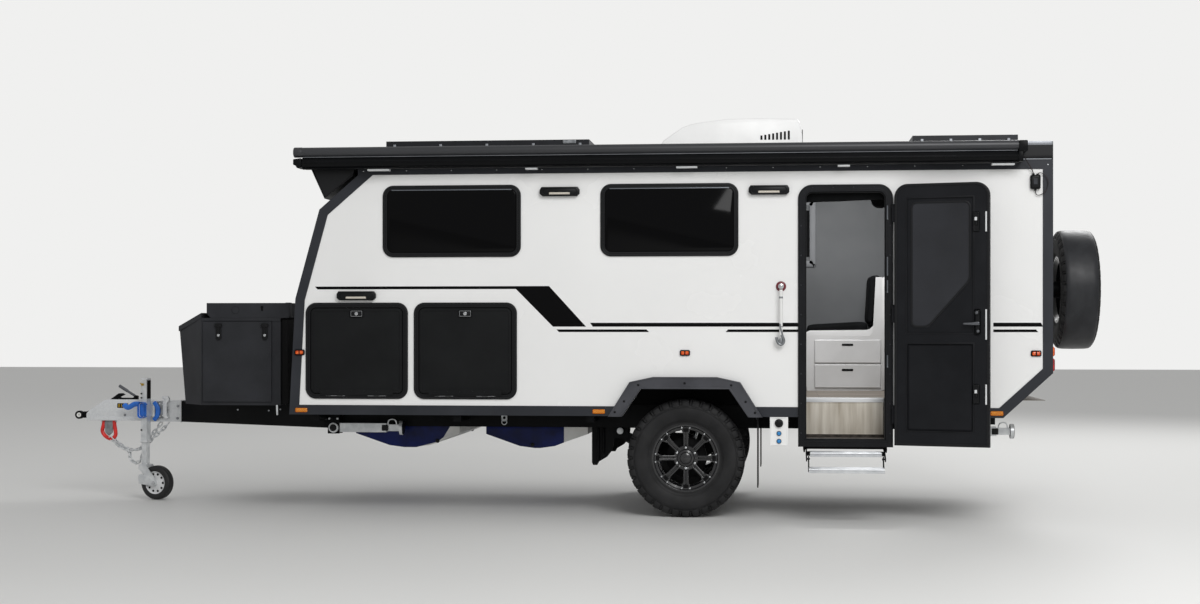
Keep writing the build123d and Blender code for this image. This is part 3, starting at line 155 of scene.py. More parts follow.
def coating(name, colour, roughness, **sockets):
    """A material with an even finish, and its shader."""
    material = bpy.data.materials.new(name)
    material.use_nodes = True
    shader = material.node_tree.nodes["Principled BSDF"]
    shader.inputs["Base Color"].default_value = linear(colour)
    shader.inputs["Roughness"].default_value = roughness
    for socket, value in sockets.items():
        shader.inputs[socket.replace("_", " ")].default_value = value
    return material, shader


def noise_at(material, size_mm, detail=3, stretch=(1, 1, 1)):
    """Noise with blotches of a real size, measured on the piece."""
    place = add_node(material, "ShaderNodeTexCoord")
    turn = add_node(material, "ShaderNodeMapping", {"Vector": place.outputs["Object"], "Scale": stretch})
    return add_node(material, "ShaderNodeTexNoise",
                    {"Vector": turn.outputs[0], "Scale": 1000 / size_mm, "Detail": detail}).outputs[0]


def cloud(material, shader, dark, light, size_mm, stretch=(1, 1, 1)):
    """Colour that drifts between two shades over a real distance."""
    ramp = add_node(material, "ShaderNodeValToRGB", {"Fac": noise_at(material, size_mm, 4, stretch)})
    ramp.color_ramp.elements[0].position = 0.35
    ramp.color_ramp.elements[0].color = linear(dark)
    ramp.color_ramp.elements[1].position = 0.65
    ramp.color_ramp.elements[1].color = linear(light)
    material.node_tree.links.new(ramp.outputs[0], shader.inputs["Base Color"])


def grain(material, shader, size_mm, depth_mm, stretch=(1, 1, 1)):
    """Relief of a real grain size and depth."""
    bump = add_node(material, "ShaderNodeBump", {"Height": noise_at(material, size_mm, 2, stretch),
                                                 "Distance": depth_mm / 1000})
    material.node_tree.links.new(bump.outputs[0], shader.inputs["Normal"])


def worn(material, shader, smooth, rough, size_mm):
    """Gloss that varies from place to place, as handling and weather leave it."""
    span = add_node(material, "ShaderNodeMapRange", {"Value": noise_at(material, size_mm),
                                                     "To Min": smooth, "To Max": rough})
    material.node_tree.links.new(span.outputs[0], shader.inputs["Roughness"])


def dress(material, *names):
    """Gives CAD nodes a finish."""
    for name in names:
        node = nodes[name]
        node.data.materials.clear()
        node.data.materials.append(material)


def finished(name, colour, roughness, drift=(), relief=(), gloss=(), **sockets):
    """A material with colour drift, grain and uneven gloss where they are given."""
    material, shader = coating(name, colour, roughness, **sockets)
    for change, values in ((cloud, drift), (grain, relief), (worn, gloss)):
        if values:
            change(material, shader, *values)
    return material


gelcoat = finished("white_gelcoat", "#F0F0EF", 0.25, Coat_Weight=0.25, Coat_Roughness=0.08,
                   drift=("#EEEEED", "#F2F2F1", 900), relief=(240, 0.12), gloss=(0.2, 0.32, 500))
dress(gelcoat, "left_wall", "right_wall", "front_wall", "rear_wall")

# Stripes. Gloss black vinyl film cut into bands with slanted ends, laid flat on the door side's
# wall. The bands step down behind the front bedroom and stop each side of the doorway.


def settle(piece):
    """Puts a finished piece's place into its mesh."""
    only(piece)
    bpy.ops.object.transform_apply(location=True, rotation=True, scale=True)
    return piece


def outward(piece):
    """Turns every face of a closed piece outwards."""
    only(piece)
    bpy.ops.object.mode_set(mode="EDIT")
    bpy.ops.mesh.select_all(action="SELECT")
    bpy.ops.mesh.remove_doubles(threshold=0.00002)
    bpy.ops.mesh.normals_make_consistent(inside=False)
    bpy.ops.object.mode_set(mode="OBJECT")
    return piece


def modified(piece, kind, **settings):
    """Adds a modifier and applies it."""
    only(piece)
    modifier = piece.modifiers.new(kind.lower(), kind)
    for name, value in settings.items():
        setattr(modifier, name, value)
    bpy.ops.object.modifier_apply(modifier=modifier.name)
    return piece


def oblong(a0, a1, b0, b1):
    """Outline of a rectangle."""
    return [(a0, b0), (a1, b0), (a1, b1), (a0, b1)]


def softened(piece, soft):
    """Rounds a piece's sharp edges by millimetres."""
    if soft:
        modified(piece, "BEVEL", width=soft / 1000, segments=2, limit_method="ANGLE", harden_normals=False)
    return piece


def drawn(name, outline, start, flat):
    """A face with the given outline, at start on the axis that flat leaves out, and that axis."""
    bpy.ops.object.select_all(action="DESELECT")
    bpy.ops.mesh.primitive_circle_add(vertices=len(outline), fill_type="NGON")
    piece = bpy.context.object
    piece.name = name
    axes = ["xyz".index(letter) for letter in flat]
    for vertex, (a, b) in zip(piece.data.vertices, outline):
        mm = [start] * 3
        mm[axes[0]], mm[axes[1]] = a, b
        vertex.co = spot(*mm)
    only(piece)
    bpy.ops.object.mode_set(mode="EDIT")
    bpy.ops.mesh.select_mode(type="FACE")
    bpy.ops.mesh.select_all(action="SELECT")
    return piece, 3 - sum(axes)


def pushed(axis, run):
    """Pushes the selected faces along an axis by millimetres."""
    push = [0, 0, 0]
    push[axis] = run / 1000
    bpy.ops.mesh.extrude_region_move(TRANSFORM_OT_translate={"value": push})


def slab(name, outline, start, through, soft=0, flat="xz"):
    """A plate with the given outline: drawn in x and z and pushed along y, or as flat says."""
    piece, axis = drawn(name, outline, start, flat)
    pushed(axis, through - start)
    return softened(outward(piece), soft)


def joined(name, pieces):
    """One piece made of several."""
    only(*pieces)
    if len(pieces) > 1:
        bpy.ops.object.join()
    piece = bpy.context.object
    piece.name = piece.data.name = name
    return piece


def fitted(piece, material, body="caravan", angle=35):
    """Finishes a new piece: its material, smooth shading up to an angle, and the body it rides on."""
    settle(piece)
    piece.data.materials.clear()
    piece.data.materials.append(material)
    only(piece)
    bpy.ops.object.shade_smooth_by_angle(angle=math.radians(angle))
    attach(piece, body)
    return piece


def built(name, pieces, material, body="caravan", angle=35):
    """Joins pieces into one and finishes it."""
    return fitted(joined(name, pieces), material, body, angle)


stripe_film = finished("black_vinyl_film", "#030304", 0.3, Specular_IOR_Level=0.12,
                       gloss=(0.16, 0.3, 300))
film = 0.5
upper_z, lower_z, thin_z = (1489, 1508), (1243, 1268), (1208, 1225)
bands = [[(2448, upper_z[1]), (2430, upper_z[0]), (1105, upper_z[0]), (861, lower_z[0]),
          (644, lower_z[0]), (887, upper_z[1])],
         [(618, lower_z[1]), (600, lower_z[0]), (-727, lower_z[0]), (-727, lower_z[1])],
         [(838, thin_z[1]), (822, thin_z[0]), (233, thin_z[0]), (250, thin_z[1])],
         [(-278, thin_z[1]), (-262, thin_z[0]), (-727, thin_z[0]), (-727, thin_z[1])],
         [(-1960, lower_z[1]), (-1960, lower_z[0]), (-2270, lower_z[0]), (-2257, lower_z[1])],
         [(-1960, thin_z[1]), (-1960, thin_z[0]), (-2240, thin_z[0]), (-2226, thin_z[1])],]
stripes = [slab("stripe", band, half_width, half_width + film) for band in bands]
built("pinstripes", stripes, stripe_film)

# Body trims. Extruded aluminium mouldings that cap every edge of the body, powder coated in satin
# charcoal and screwed down; the deeper one on the wall top carries the roof.


def rod(name, start, end, radius, sides=20, soft=0.0, top=None):
    """A round bar between two places in millimetres, or a cone where top gives its far radius."""
    low, high = spot(*start), spot(*end)
    run = high - low
    bpy.ops.object.select_all(action="DESELECT")
    bpy.ops.mesh.primitive_cone_add(vertices=sides, radius1=radius / 1000,
                                    radius2=(radius if top is None else top) / 1000, depth=run.length,
                                    location=(low + high) / 2,
                                    rotation=run.to_track_quat("Z", "Y").to_euler())
    piece = settle(bpy.context.object)
    piece.name = name
    return softened(piece, soft)


def peg(name, x, z, near, far, radius, sides=20, soft=0.0, top=None):
    """A round bar straight across the caravan, from near to far."""
    return rod(name, (x, near, z), (x, far, z), radius, sides, soft, top)


def panel(name, low, high, face="+y", corner=0.0, steps=(), soft=0.0):
    """A block between two corners. The edges along its facing axis are rounded by corner, its face is
    stepped by insets of (in, out), and what edges are left are softened."""
    a, b = spot(*low), spot(*high)
    bpy.ops.object.select_all(action="DESELECT")
    bpy.ops.mesh.primitive_cube_add(size=1, location=(a + b) / 2, scale=[abs(m) for m in b - a])
    piece = settle(bpy.context.object)
    piece.name = name
    axis, way = "xyz".index(face[1]), 1 if face[0] == "+" else -1
    if corner:
        for edge in piece.data.edges:
            one, two = (piece.data.vertices[v].co for v in edge.vertices)
            edge.select = abs((one - two)[axis]) > 0.9 * abs((b - a)[axis]) and all(
                abs((one - two)[k]) < 0.0001 for k in range(3) if k != axis)
        only(piece)
        bpy.ops.object.mode_set(mode="EDIT")
        bpy.ops.mesh.select_mode(type="EDGE")
        bpy.ops.mesh.bevel(offset=corner / 1000, segments=5, affect="EDGES")
        bpy.ops.object.mode_set(mode="OBJECT")
    if steps:
        for polygon in piece.data.polygons:
            polygon.select = polygon.normal[axis] * way > 0.9
        for item in [*piece.data.edges, *piece.data.vertices]:
            item.select = False
        only(piece)
        bpy.ops.object.mode_set(mode="EDIT")
        bpy.ops.mesh.select_mode(type="FACE")
        for inward, out in steps:
            bpy.ops.mesh.inset(thickness=inward / 1000, depth=out / 1000)
        bpy.ops.object.mode_set(mode="OBJECT")
    return softened(piece, soft)


def copied(piece, change, inside_out=False):
    """A copy with its own mesh, moved by a matrix."""
    copy = piece.copy()
    copy.data = piece.data.copy()
    bpy.context.scene.collection.objects.link(copy)
    copy.data.transform(change)
    if inside_out:
        copy.data.flip_normals()
    return copy


def shifted(piece, x=0.0, y=0.0, z=0.0):
    """A copy moved by millimetres."""
    return copied(piece, Matrix.Translation((x / 1000, y / 1000, z / 1000)))


def placing(at, degrees=0, axis="Z"):
    """The matrix that turns a piece drawn about (0, 0, 0) and takes it to a place in millimetres."""
    return (Matrix.Translation(spot(*at)) @ Matrix.Rotation(math.radians(degrees), 4, axis)
            @ Matrix.Translation(-spot(0, 0, 0)))


def turned(piece, degrees):
    """A copy turned about the line across the caravan through (0, 0, 0)."""
    return copied(piece, placing((0, 0, 0), degrees, "Y"))


def removed(*pieces):
    """Takes away pieces that were only patterns for copies."""
    for piece in pieces:
        bpy.data.objects.remove(piece)


def mirrored(piece):
    """A copy on the caravan's other side."""
    centre = Vector((0, centre_y, 0))
    return copied(piece, Matrix.Translation(centre) @ Matrix.Scale(-1, 4, (0, 1, 0))
                  @ Matrix.Translation(-centre), True)


def paired(*pieces):
    """These pieces and their copies on the other side."""
    return [*pieces, *[mirrored(piece) for piece in pieces]]


def sided(pieces, sides):
    """Pieces drawn on the left, as they are wanted: on the left, the right or both."""
    if sides == "l":
        return pieces
    copies = [mirrored(piece) for piece in pieces]
    if sides == "lr":
        return pieces + copies
    removed(*pieces)
    return copies


wall_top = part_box("left_wall")[1][2] * 1000
rail_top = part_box("roof")[0][2] * 1000
trim_out = 4
trim_coat = finished("satin_powder_coat", "#2C2E33", 0.42, Specular_IOR_Level=0.25,
                     drift=("#282A2F", "#313338", 350), relief=(3, 0.05), gloss=(0.36, 0.52, 160))
dress(trim_coat, "body_trims")

stainless = finished("bright_stainless_steel", "#C9CBCD", 0.24, Metallic=1.0, gloss=(0.16, 0.34, 20))
screw_z = (wall_top + rail_top) / 2 - 2
face = half_width + trim_out
screw = peg("screw", 0, screw_z, face - 1, face + 3, 6, 12, 1.2, top=3.5)
rail_screws = [shifted(screw, x=x) for x in (2120, 1832, 1532, 1232, 932, 632, 332, 32, -268, -568,
                                             -868, -1168, -1468, -1768, -2010, -2300)]
removed(screw)
built("rail_screws", paired(*rail_screws), stainless)

amber, shader = coating("amber_reflector", "#E8820C", 0.12, Coat_Weight=0.6)
pattern = add_node(amber, "ShaderNodeTexCoord")
facets = add_node(amber, "ShaderNodeTexVoronoi", {"Vector": pattern.outputs["Object"], "Scale": 1000 / 5},
                  feature="DISTANCE_TO_EDGE")
shade = add_node(amber, "ShaderNodeValToRGB", {"Fac": facets.outputs["Distance"]})
shade.color_ramp.elements[0].color = linear("#B45A05")
shade.color_ramp.elements[1].color = linear("#FFA714")
shade.color_ramp.elements[1].position = 0.3
amber.node_tree.links.new(shade.outputs[0], shader.inputs["Base Color"])
reflectors = []
for x in (2538, 560, -1982):
    reflector = panel("reflector", (x - 40, face, 678), (x + 40, face + 5, 706), "+y", 6, [(4, 1.5)], 1)
    reflectors += paired(reflector)
built("side_reflectors", reflectors, amber)

# Windows. Smoked acrylic sashes in moulded black frames; a rubber bead runs round each frame and an
# aluminium hinge profile lies along its head, so the pane swings out at the foot on the real one.


def arc(x, z, radius, angles):
    """Places round a centre, at angles in degrees."""
    return [(x + radius * math.cos(math.radians(a)), z + radius * math.sin(math.radians(a)))
            for a in angles]


def rounded(x0, x1, z0, z1, radius, steps=7):
    """Outline of a rectangle with rounded corners."""
    points = []
    for cx, cz, start in ((x1 - radius, z1 - radius, 0), (x0 + radius, z1 - radius, 90),
                          (x0 + radius, z0 + radius, 180), (x1 - radius, z0 + radius, 270)):
        points += arc(cx, cz, radius, [start + 90 * k / steps for k in range(steps + 1)])
    return points


def hoop(name, outline, width, start, through, soft=0.0, flat="xz"):
    """A flat band that follows an outline: an inset outline with its middle taken out, given a depth."""
    piece, axis = drawn(name, outline, start, flat)
    bpy.ops.mesh.inset(thickness=width / 1000)
    bpy.ops.mesh.delete(type="ONLY_FACE")
    bpy.ops.mesh.select_all(action="SELECT")
    pushed(axis, through - start)
    return softened(outward(piece), soft)


frame_out, window_border = 8, 28
moulded_frame = finished("moulded_black_pvc", "#0E0F11", 0.38, Specular_IOR_Level=0.22,
                         relief=(2.5, 0.06), gloss=(0.3, 0.48, 90))
smoked = finished("smoked_acrylic", "#020203", 0.06, Specular_IOR_Level=0.12, relief=(320, 0.12),
                  gloss=(0.04, 0.1, 400))
bead_rubber = finished("extruded_rubber", "#141517", 0.34, Specular_IOR_Level=0.25, relief=(1.6, 0.04),
                       gloss=(0.26, 0.44, 60))
anodised = finished("anodised_aluminium", "#7C8086", 0.3, Metallic=0.9,
                    relief=(1.2, 0.02, (0.05, 1, 1)), gloss=(0.22, 0.4, 50))
dress(moulded_frame, "window_frames")
dress(smoked, "window_glass")
windows = [(1072, 1990, 1699, 2170), (-345, 550, 1699, 2170)]
beads, sashes, profiles = [], [], []
face, g = half_width + frame_out, window_border
for (x0, x1, z0, z1), sides in ((windows[0], "lr"), (windows[1], "l"), ((-930, -35, 1699, 2170), "r")):
    bead = hoop("bead", rounded(x0 + 5, x1 - 5, z0 + 5, z1 - 5, 65), 9, face - 0.5, face + 3, 1.4)
    lip = hoop("lip", rounded(x0 + 20, x1 - 20, z0 + 20, z1 - 20, 50), 7, face - 0.5, face + 2, 1)
    sash = slab("sash", rounded(x0 + g + 5, x1 - g - 5, z0 + g + 5, z1 - g - 5, 38), half_width + 5,
                half_width + 10, 2)
    profile = panel("profile", (x0 + 60, half_width + 6, z1 - g - 6),
                    (x1 - 60, half_width + 12, z1 - g + 1), "+y", 2, (), 1)
    beads += sided([bead, lip], sides)
    sashes += sided([sash], sides)
    profiles += sided([profile], sides)
built("window_beads", beads, bead_rubber)
built("window_sashes", sashes, smoked)
built("window_profiles", profiles, anodised)

# Storage hatches. Matt black polyurethane leaves in black frames, with a raised rim, a rubber seal
# and a folding paddle latch at the head; each drops on a long hinge along its foot.

hatch_black = finished("matt_moulded_polyurethane", "#18191A", 0.62, Specular_IOR_Level=0.12,
                       drift=("#161718", "#1B1C1D", 300), relief=(5, 0.12), gloss=(0.52, 0.72, 120))
dress(hatch_black, "left_front_hatch", "left_rear_hatch", "right_hatch")
dress(moulded_frame, "hatch_frames")
hatches = {"left_front_hatch": (1822, 2509, 767, 1401), "left_rear_hatch": (1098, 1782, 767, 1401)}
seals = []
for body, (x0, x1, z0, z1) in hatches.items():
    seal = hoop("seal", rounded(x0 + 4, x1 - 4, z0 + 4, z1 - 4, 66), 11, face - 0.5,
                face + 3.5, 1.6)
    seals.append(seal)
    g, y = 37, face + 0.4
    rim = hoop("rim", rounded(x0 + g + 7, x1 - g - 7, z0 + g + 7, z1 - g - 7, 28), 11, y - 1, y + 3, 1.2)
    middle, top = (x0 + x1) / 2, z1 - 43
    well = panel("well", (middle - 44, y - 1, top - 52), (middle + 44, y + 3, top - 6), "+y", 8,
                 [(5, 0), (3, -2.4)], 0.6)
    paddle = panel("paddle", (middle - 36, y, top - 47), (middle + 36, y + 5, top - 13), "+y", 6,
                   [(5, 1.5), (3, -1)], 0.8)
    lock = peg("lock", middle, top - 30, y + 4, y + 9, 11.5, 24, 1.5)
    edges = hoop("paddle_edge", rounded(middle - 38, middle + 38, top - 48, top - 11, 6), 2.6, y + 1,
                 y + 5.5, 0.8)
    hinges = [panel("hinge_leaf", (x1 - b * (x1 - x0), y - 2, z0 + 19),
                    (x1 - a * (x1 - x0), y + 4.5, z0 + 25), "+y", 0, (), 1)
              for a, b in ((0.2, 0.385), (0.61, 0.797))]
    bright = joined(f"{body}_bright", [lock, edges, *hinges])
    hinge_z = z0 + 25
    pins = [rod("pin", (x, y + 4, hinge_z), (x + 40, y + 4, hinge_z), 5.2, 12)
            for x in range(int(x0) + 108, int(x1) - 140, 82)]
    screws = [peg("hinge_screw", x, hinge_z + 26, y + 3, y + 6, 4.5, 10, 0.8)
              for x in range(int(x0) + 130, int(x1) - 120, 82)]
    trim = joined(f"{body}_trim", [rim, well, *pins])
    latch = joined(f"{body}_latch", [paddle, *screws])
    if body == "left_front_hatch":
        seals.append(mirrored(seal))
        built("right_hatch_trim", [mirrored(trim)], hatch_black, "right_hatch")
        built("right_hatch_latch", [mirrored(latch)], moulded_frame, "right_hatch")
        built("right_hatch_bright", [mirrored(bright)], stainless, "right_hatch")
    fitted(trim, hatch_black, body)
    fitted(latch, moulded_frame, body)
    fitted(bright, stainless, body)
built("hatch_seals", seals, bead_rubber)

# Doorway. A black extruded frame that hangs below the sill, screwed on all round, with a bulb seal
# inside it and small keeper plates on its rear side; three knuckles carry the leaf at its rear edge.

door_x, door_z, door_frame_out, door_rim = (-1330, -727), (472, 2154), 12, 45
door_black = finished("satin_black_extrusion", "#111214", 0.4, Specular_IOR_Level=0.15,
                      drift=("#121315", "#1A1B1E", 260), relief=(2.2, 0.05), gloss=(0.32, 0.5, 110))
dress(door_black, "door_frame")


def arched(inset, foot=None):
    """Outline of the doorway, with rounded upper corners and a square foot, moved in by an amount."""
    x0, x1, z1 = door_x[0] + inset, door_x[1] - inset, door_z[1] - inset
    top = rounded(x0, x1, door_z[0], z1, 90 - inset)
    z0 = door_z[0] + (inset if foot is None else foot)
    return top[:16] + [(x0, z0), (x1, z0)]


front = half_width + door_frame_out
line = hoop("line", arched(4), 5, front - 0.5, front + 2, 0.8)
inner_line = hoop("line", arched(30), 5, front - 0.5, front + 2, 0.8)
built("door_frame_lines", [line, inner_line], door_black)
bulb = hoop("bulb", arched(door_rim - 0.5), 9, half_width - 18, half_width - 4, 3)
built("doorway_seal", [bulb], bead_rubber)
studs = []
for z in range(560, 2080, 190):
    for x in (door_x[0] + 19, door_x[1] - 19):
        studs.append(peg("stud", x, z, front - 1, front + 2.4, 5, 12, 1, top=3))
for x in range(-1210, -800, 130):
    studs.append(peg("stud", x, door_z[1] - 19, front - 1, front + 2.4, 5, 12, 1, top=3))
built("door_frame_studs", studs, trim_coat)
keepers = []
for z, tall in ((1972, 90), (1629, 120), (1500, 80), (1021, 80)):
    keepers.append(panel("keeper", (door_x[0] + 30, front - 1, z - tall / 2),
                         (door_x[0] + 40, front + 2.5, z + tall / 2), "+y", 3, [(2.5, -1)]))
built("door_keepers", keepers, anodised)

# Entry door. An aluminium framed leaf with two sunk panels, a fixed pane, two slam latches and a
# lever lock. It is drawn shut and turned on its hinge to where it stands open.

hinge = Vector(joints["entry_door_hinge"]["pos_m"])
door_open = 164
door_turn = Matrix.Translation(hinge) @ Matrix.Rotation(math.radians(door_open), 4,
        "Z") @ Matrix.Translation(-hinge)
leaf_x, leaf_z, leaf_in, leaf_out = (-1316, -717), (488, 2148), 1072, 1110
panel_x, upper_panel, lower_panel = (-1243, -811), (1196, 2063), (576, 1143)


def hung(name, pieces, material):
    """Joins pieces drawn on the shut leaf, turns them to the open one and fixes them there."""
    piece = joined(name, pieces)
    piece.data.transform(door_turn)
    return fitted(piece, material, "entry_door")


leaf_skin = finished("painted_aluminium_leaf", "#141518", 0.48, Specular_IOR_Level=0.12,
                     drift=("#151619", "#1C1D20", 300), relief=(4, 0.08), gloss=(0.42, 0.6, 140))
dress(leaf_skin, "entry_door")
# The pane's lighter, cloudy grey is partly its tint and partly painted reflection of the bright surround
# on the glass.
door_tint_and_reflection = finished("tinted_door_acrylic_with_painted_reflection", "#232427", 0.3, Specular_IOR_Level=0.2,
                     drift=("#28292C", "#303135", 400), gloss=(0.26, 0.38, 150))
dress(door_tint_and_reflection, "door_glass")
x0, x1, z0, z1 = leaf_x[0] + 3, leaf_x[1] - 3, leaf_z[0] + 3, leaf_z[1] - 3
rim = hoop("rim", [(x0, z0), (x1, z0), *rounded(x0, x1, 800, z1, 80)[:16]], 13, leaf_in - 4, leaf_in
           + 1, 1.5)
hung("door_leaf_seal", [rim], bead_rubber)
beading = [hoop("bead", oblong(panel_x[0], panel_x[1], z0, z1), 9, y0, y1, 1.5)
           for z0, z1 in (upper_panel, lower_panel) for y0, y1 in ((leaf_in - 2, leaf_in + 7),
        (leaf_out - 7, leaf_out + 2))]
hung("door_panel_beads", beading, door_black)
px0, px1, pz0, pz1 = panel_x[0] + 30, panel_x[1] - 23, upper_panel[0] + 41, upper_panel[1] - 29
pane_outline = rounded(px0, px1, pz0, pz1, 40)
pane_outline = pane_outline[:24] + [(px1 - 285, pz0), (px1 - 253, pz0 + 14), (px1 - 12, pz0 + 284),
                                    (px1, pz0 + 320)]
gaskets = [hoop("gasket", pane_outline, 12, y0, y1, 1.5)
           for y0, y1 in ((leaf_in + 4, leaf_in + 11), (leaf_out - 12, leaf_out - 6))]
hung("door_pane_gasket", gaskets, bead_rubber)
skin = panel("door_lower_panel", (panel_x[0] + 14, leaf_in + 6, lower_panel[0] + 14),
             (panel_x[1] - 14, leaf_in + 12, lower_panel[1] - 14), "-y", 10, [(6, -1.5)], 1)
hung("door_lower_panel", [skin], leaf_skin)
fittings = []
for z0, z1 in ((1836, 1962), (760, 882)):
    fittings.append(panel("latch", (-821, leaf_in - 6, z0), (-778, leaf_in + 2, z1), "-y", 8,
                          [(5, -1.5), (4, 1.5)], 1))
    fittings.append(panel("slide", (-807, leaf_in - 7.5, (z0 + z1) / 2 - 22),
                          (-792, leaf_in - 3, (z0 + z1) / 2 + 22), "-y", 4, [(3, 0.8)], 0.6))
nosing_alloy = finished("brushed_aluminium_nosing", "#E2E4E5", 0.34, Metallic=0.15,
                        drift=("#DADCDE", "#EAEBEC", 60, (0.1, 1, 1)), gloss=(0.28, 0.42, 40))
plate = panel("lock_plate", (-812, leaf_in - 4, 1192), (-772, leaf_in + 2, 1353), "-y", 12, [(6, 1.5)], 1)
boss = peg("boss", -787, 1262, leaf_in - 4, leaf_in - 20, 13, 24, 2)
rose = peg("rose", -794, 1330, leaf_in - 4, leaf_in - 11, 17, 32, 3)
fittings += [plate, boss, rose]
hung("door_lock_cases", fittings, moulded_frame)
lever = slab("lever", [(-775, 1270), (-785, 1275), (-825, 1269), (-873, 1267), (-878, 1261),
                       (-873, 1256), (-825, 1254), (-775, 1252)], leaf_in - 28, leaf_in - 18, 3)
cylinder = peg("cylinder", -787, 1215, leaf_in - 5, leaf_in - 10, 9, 20, 1)
knob = peg("knob", -794, 1330, leaf_in - 10, leaf_in - 17, 9, 24, 2)
lever_grey = finished("dark_satin_lever", "#5E6064", 0.34, Metallic=0.6,
                      drift=("#56585C", "#696B6F", 40), gloss=(0.28, 0.44, 25))
hung("door_lever", [lever, cylinder, knob], lever_grey)
tabs = [panel("catch", (-809, leaf_in - 11, z0), (-793, leaf_in - 5, z0 + 22), "-y", 3, [(3, 1)], 1.5)
        for z0 in (1906, 826)]
hung("door_catches", tabs, nosing_alloy)
strips = [panel("strip", (-743, leaf_in - 3, z0), (-732, leaf_in + 1, z1), "-y", 2, [(3, 0.5)], 0.4)
          for z0, z1 in ((1836, 1962), (1161, 1351), (756, 882))]
hung("door_strikes", strips, nosing_alloy)
pull = [peg("post", -765, z, leaf_out - 1, leaf_out + 24, 8, 16, 1.5) for z in (1150, 1290)]
pull.append(panel("grip", (-777, leaf_out + 20, 1130), (-753, leaf_out + 34, 1310), "+y", 8, [(5, 2)], 3))
hung("door_outer_handle", pull, moulded_frame)

# Cabin floor. Vinyl planks on the bonded floor panel, an aluminium nosing over the edge of the step
# well, a pale oak board on the riser and a dark ribbed tread below it.

floor_top, well_back, well_tread = 773, half_width - 230, 515
planks, shader = coating("vinyl_plank", "#8A8178", 0.55)
place = add_node(planks, "ShaderNodeTexCoord")
# One plank is 150 mm wide and 1.2 m long, laid along the caravan.
boards = add_node(planks, "ShaderNodeTexBrick", {"Vector": place.outputs["Object"], "Scale": 1.0,
                                                 "Brick Width": 1.2, "Row Height": 0.15,
                                                 "Mortar Size": 0.0016, "Color1": linear("#8F867C"),
                                                 "Color2": linear("#7B736A"),
                                                 "Mortar": linear("#3F3A35")})
veins = add_node(planks, "ShaderNodeValToRGB", {"Fac": noise_at(planks, 60, 5, (0.08, 1.4, 1))})
veins.color_ramp.elements[0].color = linear("#B5B0AA")
veins.color_ramp.elements[1].color = linear("#FFFFFF")
grained = add_node(planks, "ShaderNodeMix", {0: 1.0, 6: boards.outputs["Color"], 7: veins.outputs[0]},
                   data_type="RGBA", blend_type="MULTIPLY")
planks.node_tree.links.new(grained.outputs[2], shader.inputs["Base Color"])
worn(planks, shader, 0.45, 0.65, 200)
pale_oak = finished("pale_oak_laminate", "#C8C0B0", 0.5, drift=("#A89E8E", "#D9D3C7", 55, (1, 1, 0.09)),
                    relief=(8, 0.06, (1, 1, 0.05)), gloss=(0.42, 0.58, 200))
marine_ply = finished("sealed_floor_board", "#3A3A3B", 0.7, drift=("#323233", "#434344", 200),
                      relief=(6, 0.1), gloss=(0.6, 0.8, 150))
dress(marine_ply, "floor")
well_x = (door_x[0] + door_rim, door_x[1] - door_rim)
cover = slab("cabin_floor", [(-2290, -1018), (-430, -1018), (-430, -695), (430, -695), (430, -1018),
                             (995, -1018), (995, 475), (-605, 475), (-605, 1015),
                             (well_x[1] + 18, 1015), (well_x[1] + 18, well_back - 2),
                             (well_x[0] - 18, well_back - 2), (well_x[0] - 18, 1015), (-2290, 1015)],
             floor_top, floor_top + 2, 0, "xy")
fitted(cover, planks)
nosing = slab("step_nosing", [(well_back - 30, floor_top + 5), (well_back + 4, floor_top + 5),
                              (well_back + 8, floor_top + 1), (well_back + 8, floor_top - 24),
                              (well_back + 5, floor_top - 24), (well_back + 5, floor_top),
                              (well_back - 30, floor_top + 1.5)], well_x[0] + 1, well_x[1] - 1, 0.8,
              "yz")
fitted(nosing, nosing_alloy)
riser = panel("step_riser", (well_x[0] + 2, well_back, well_tread + 22),
              (well_x[1] - 2, well_back + 5, floor_top - 24), "+y", 3, [(8, 0), (2, -1)], 0.8)
fitted(riser, pale_oak)
ribs = [panel("rib", (well_x[0] + 4, y, well_tread), (well_x[1] - 4, y + 7, well_tread + 6), "+z", 0,
              [(1.5, 1)], 1) for y in range(int(well_back) + 12, int(half_width) - 36, 14)]
mat = panel("mat", (well_x[0] + 1, well_back + 6, well_tread),
            (well_x[1] - 1, half_width - 33, well_tread + 3), "+z", 0, [(3, 0.5)], 0.5)
kick = [panel("kick", (well_x[0] + 2, well_back, z), (well_x[1] - 2, well_back + 9, z + 6), "+y", 0, (),
              1.5) for z in range(well_tread + 2, well_tread + 22, 8)]
mat_rubber = finished("worn_brown_rubber_mat", "#4A4440", 0.7, Specular_IOR_Level=0.2,
                      drift=("#3A3531", "#5C554F", 30, (1, 1, 0.5)), relief=(4, 0.2))
built("step_tread_mat", [mat, *ribs, *kick], mat_rubber)

# Dinette and kitchen. Foam-cored furniture board in light grey laminate; the bench has drawers with
# dark finger slots towards the aisle.

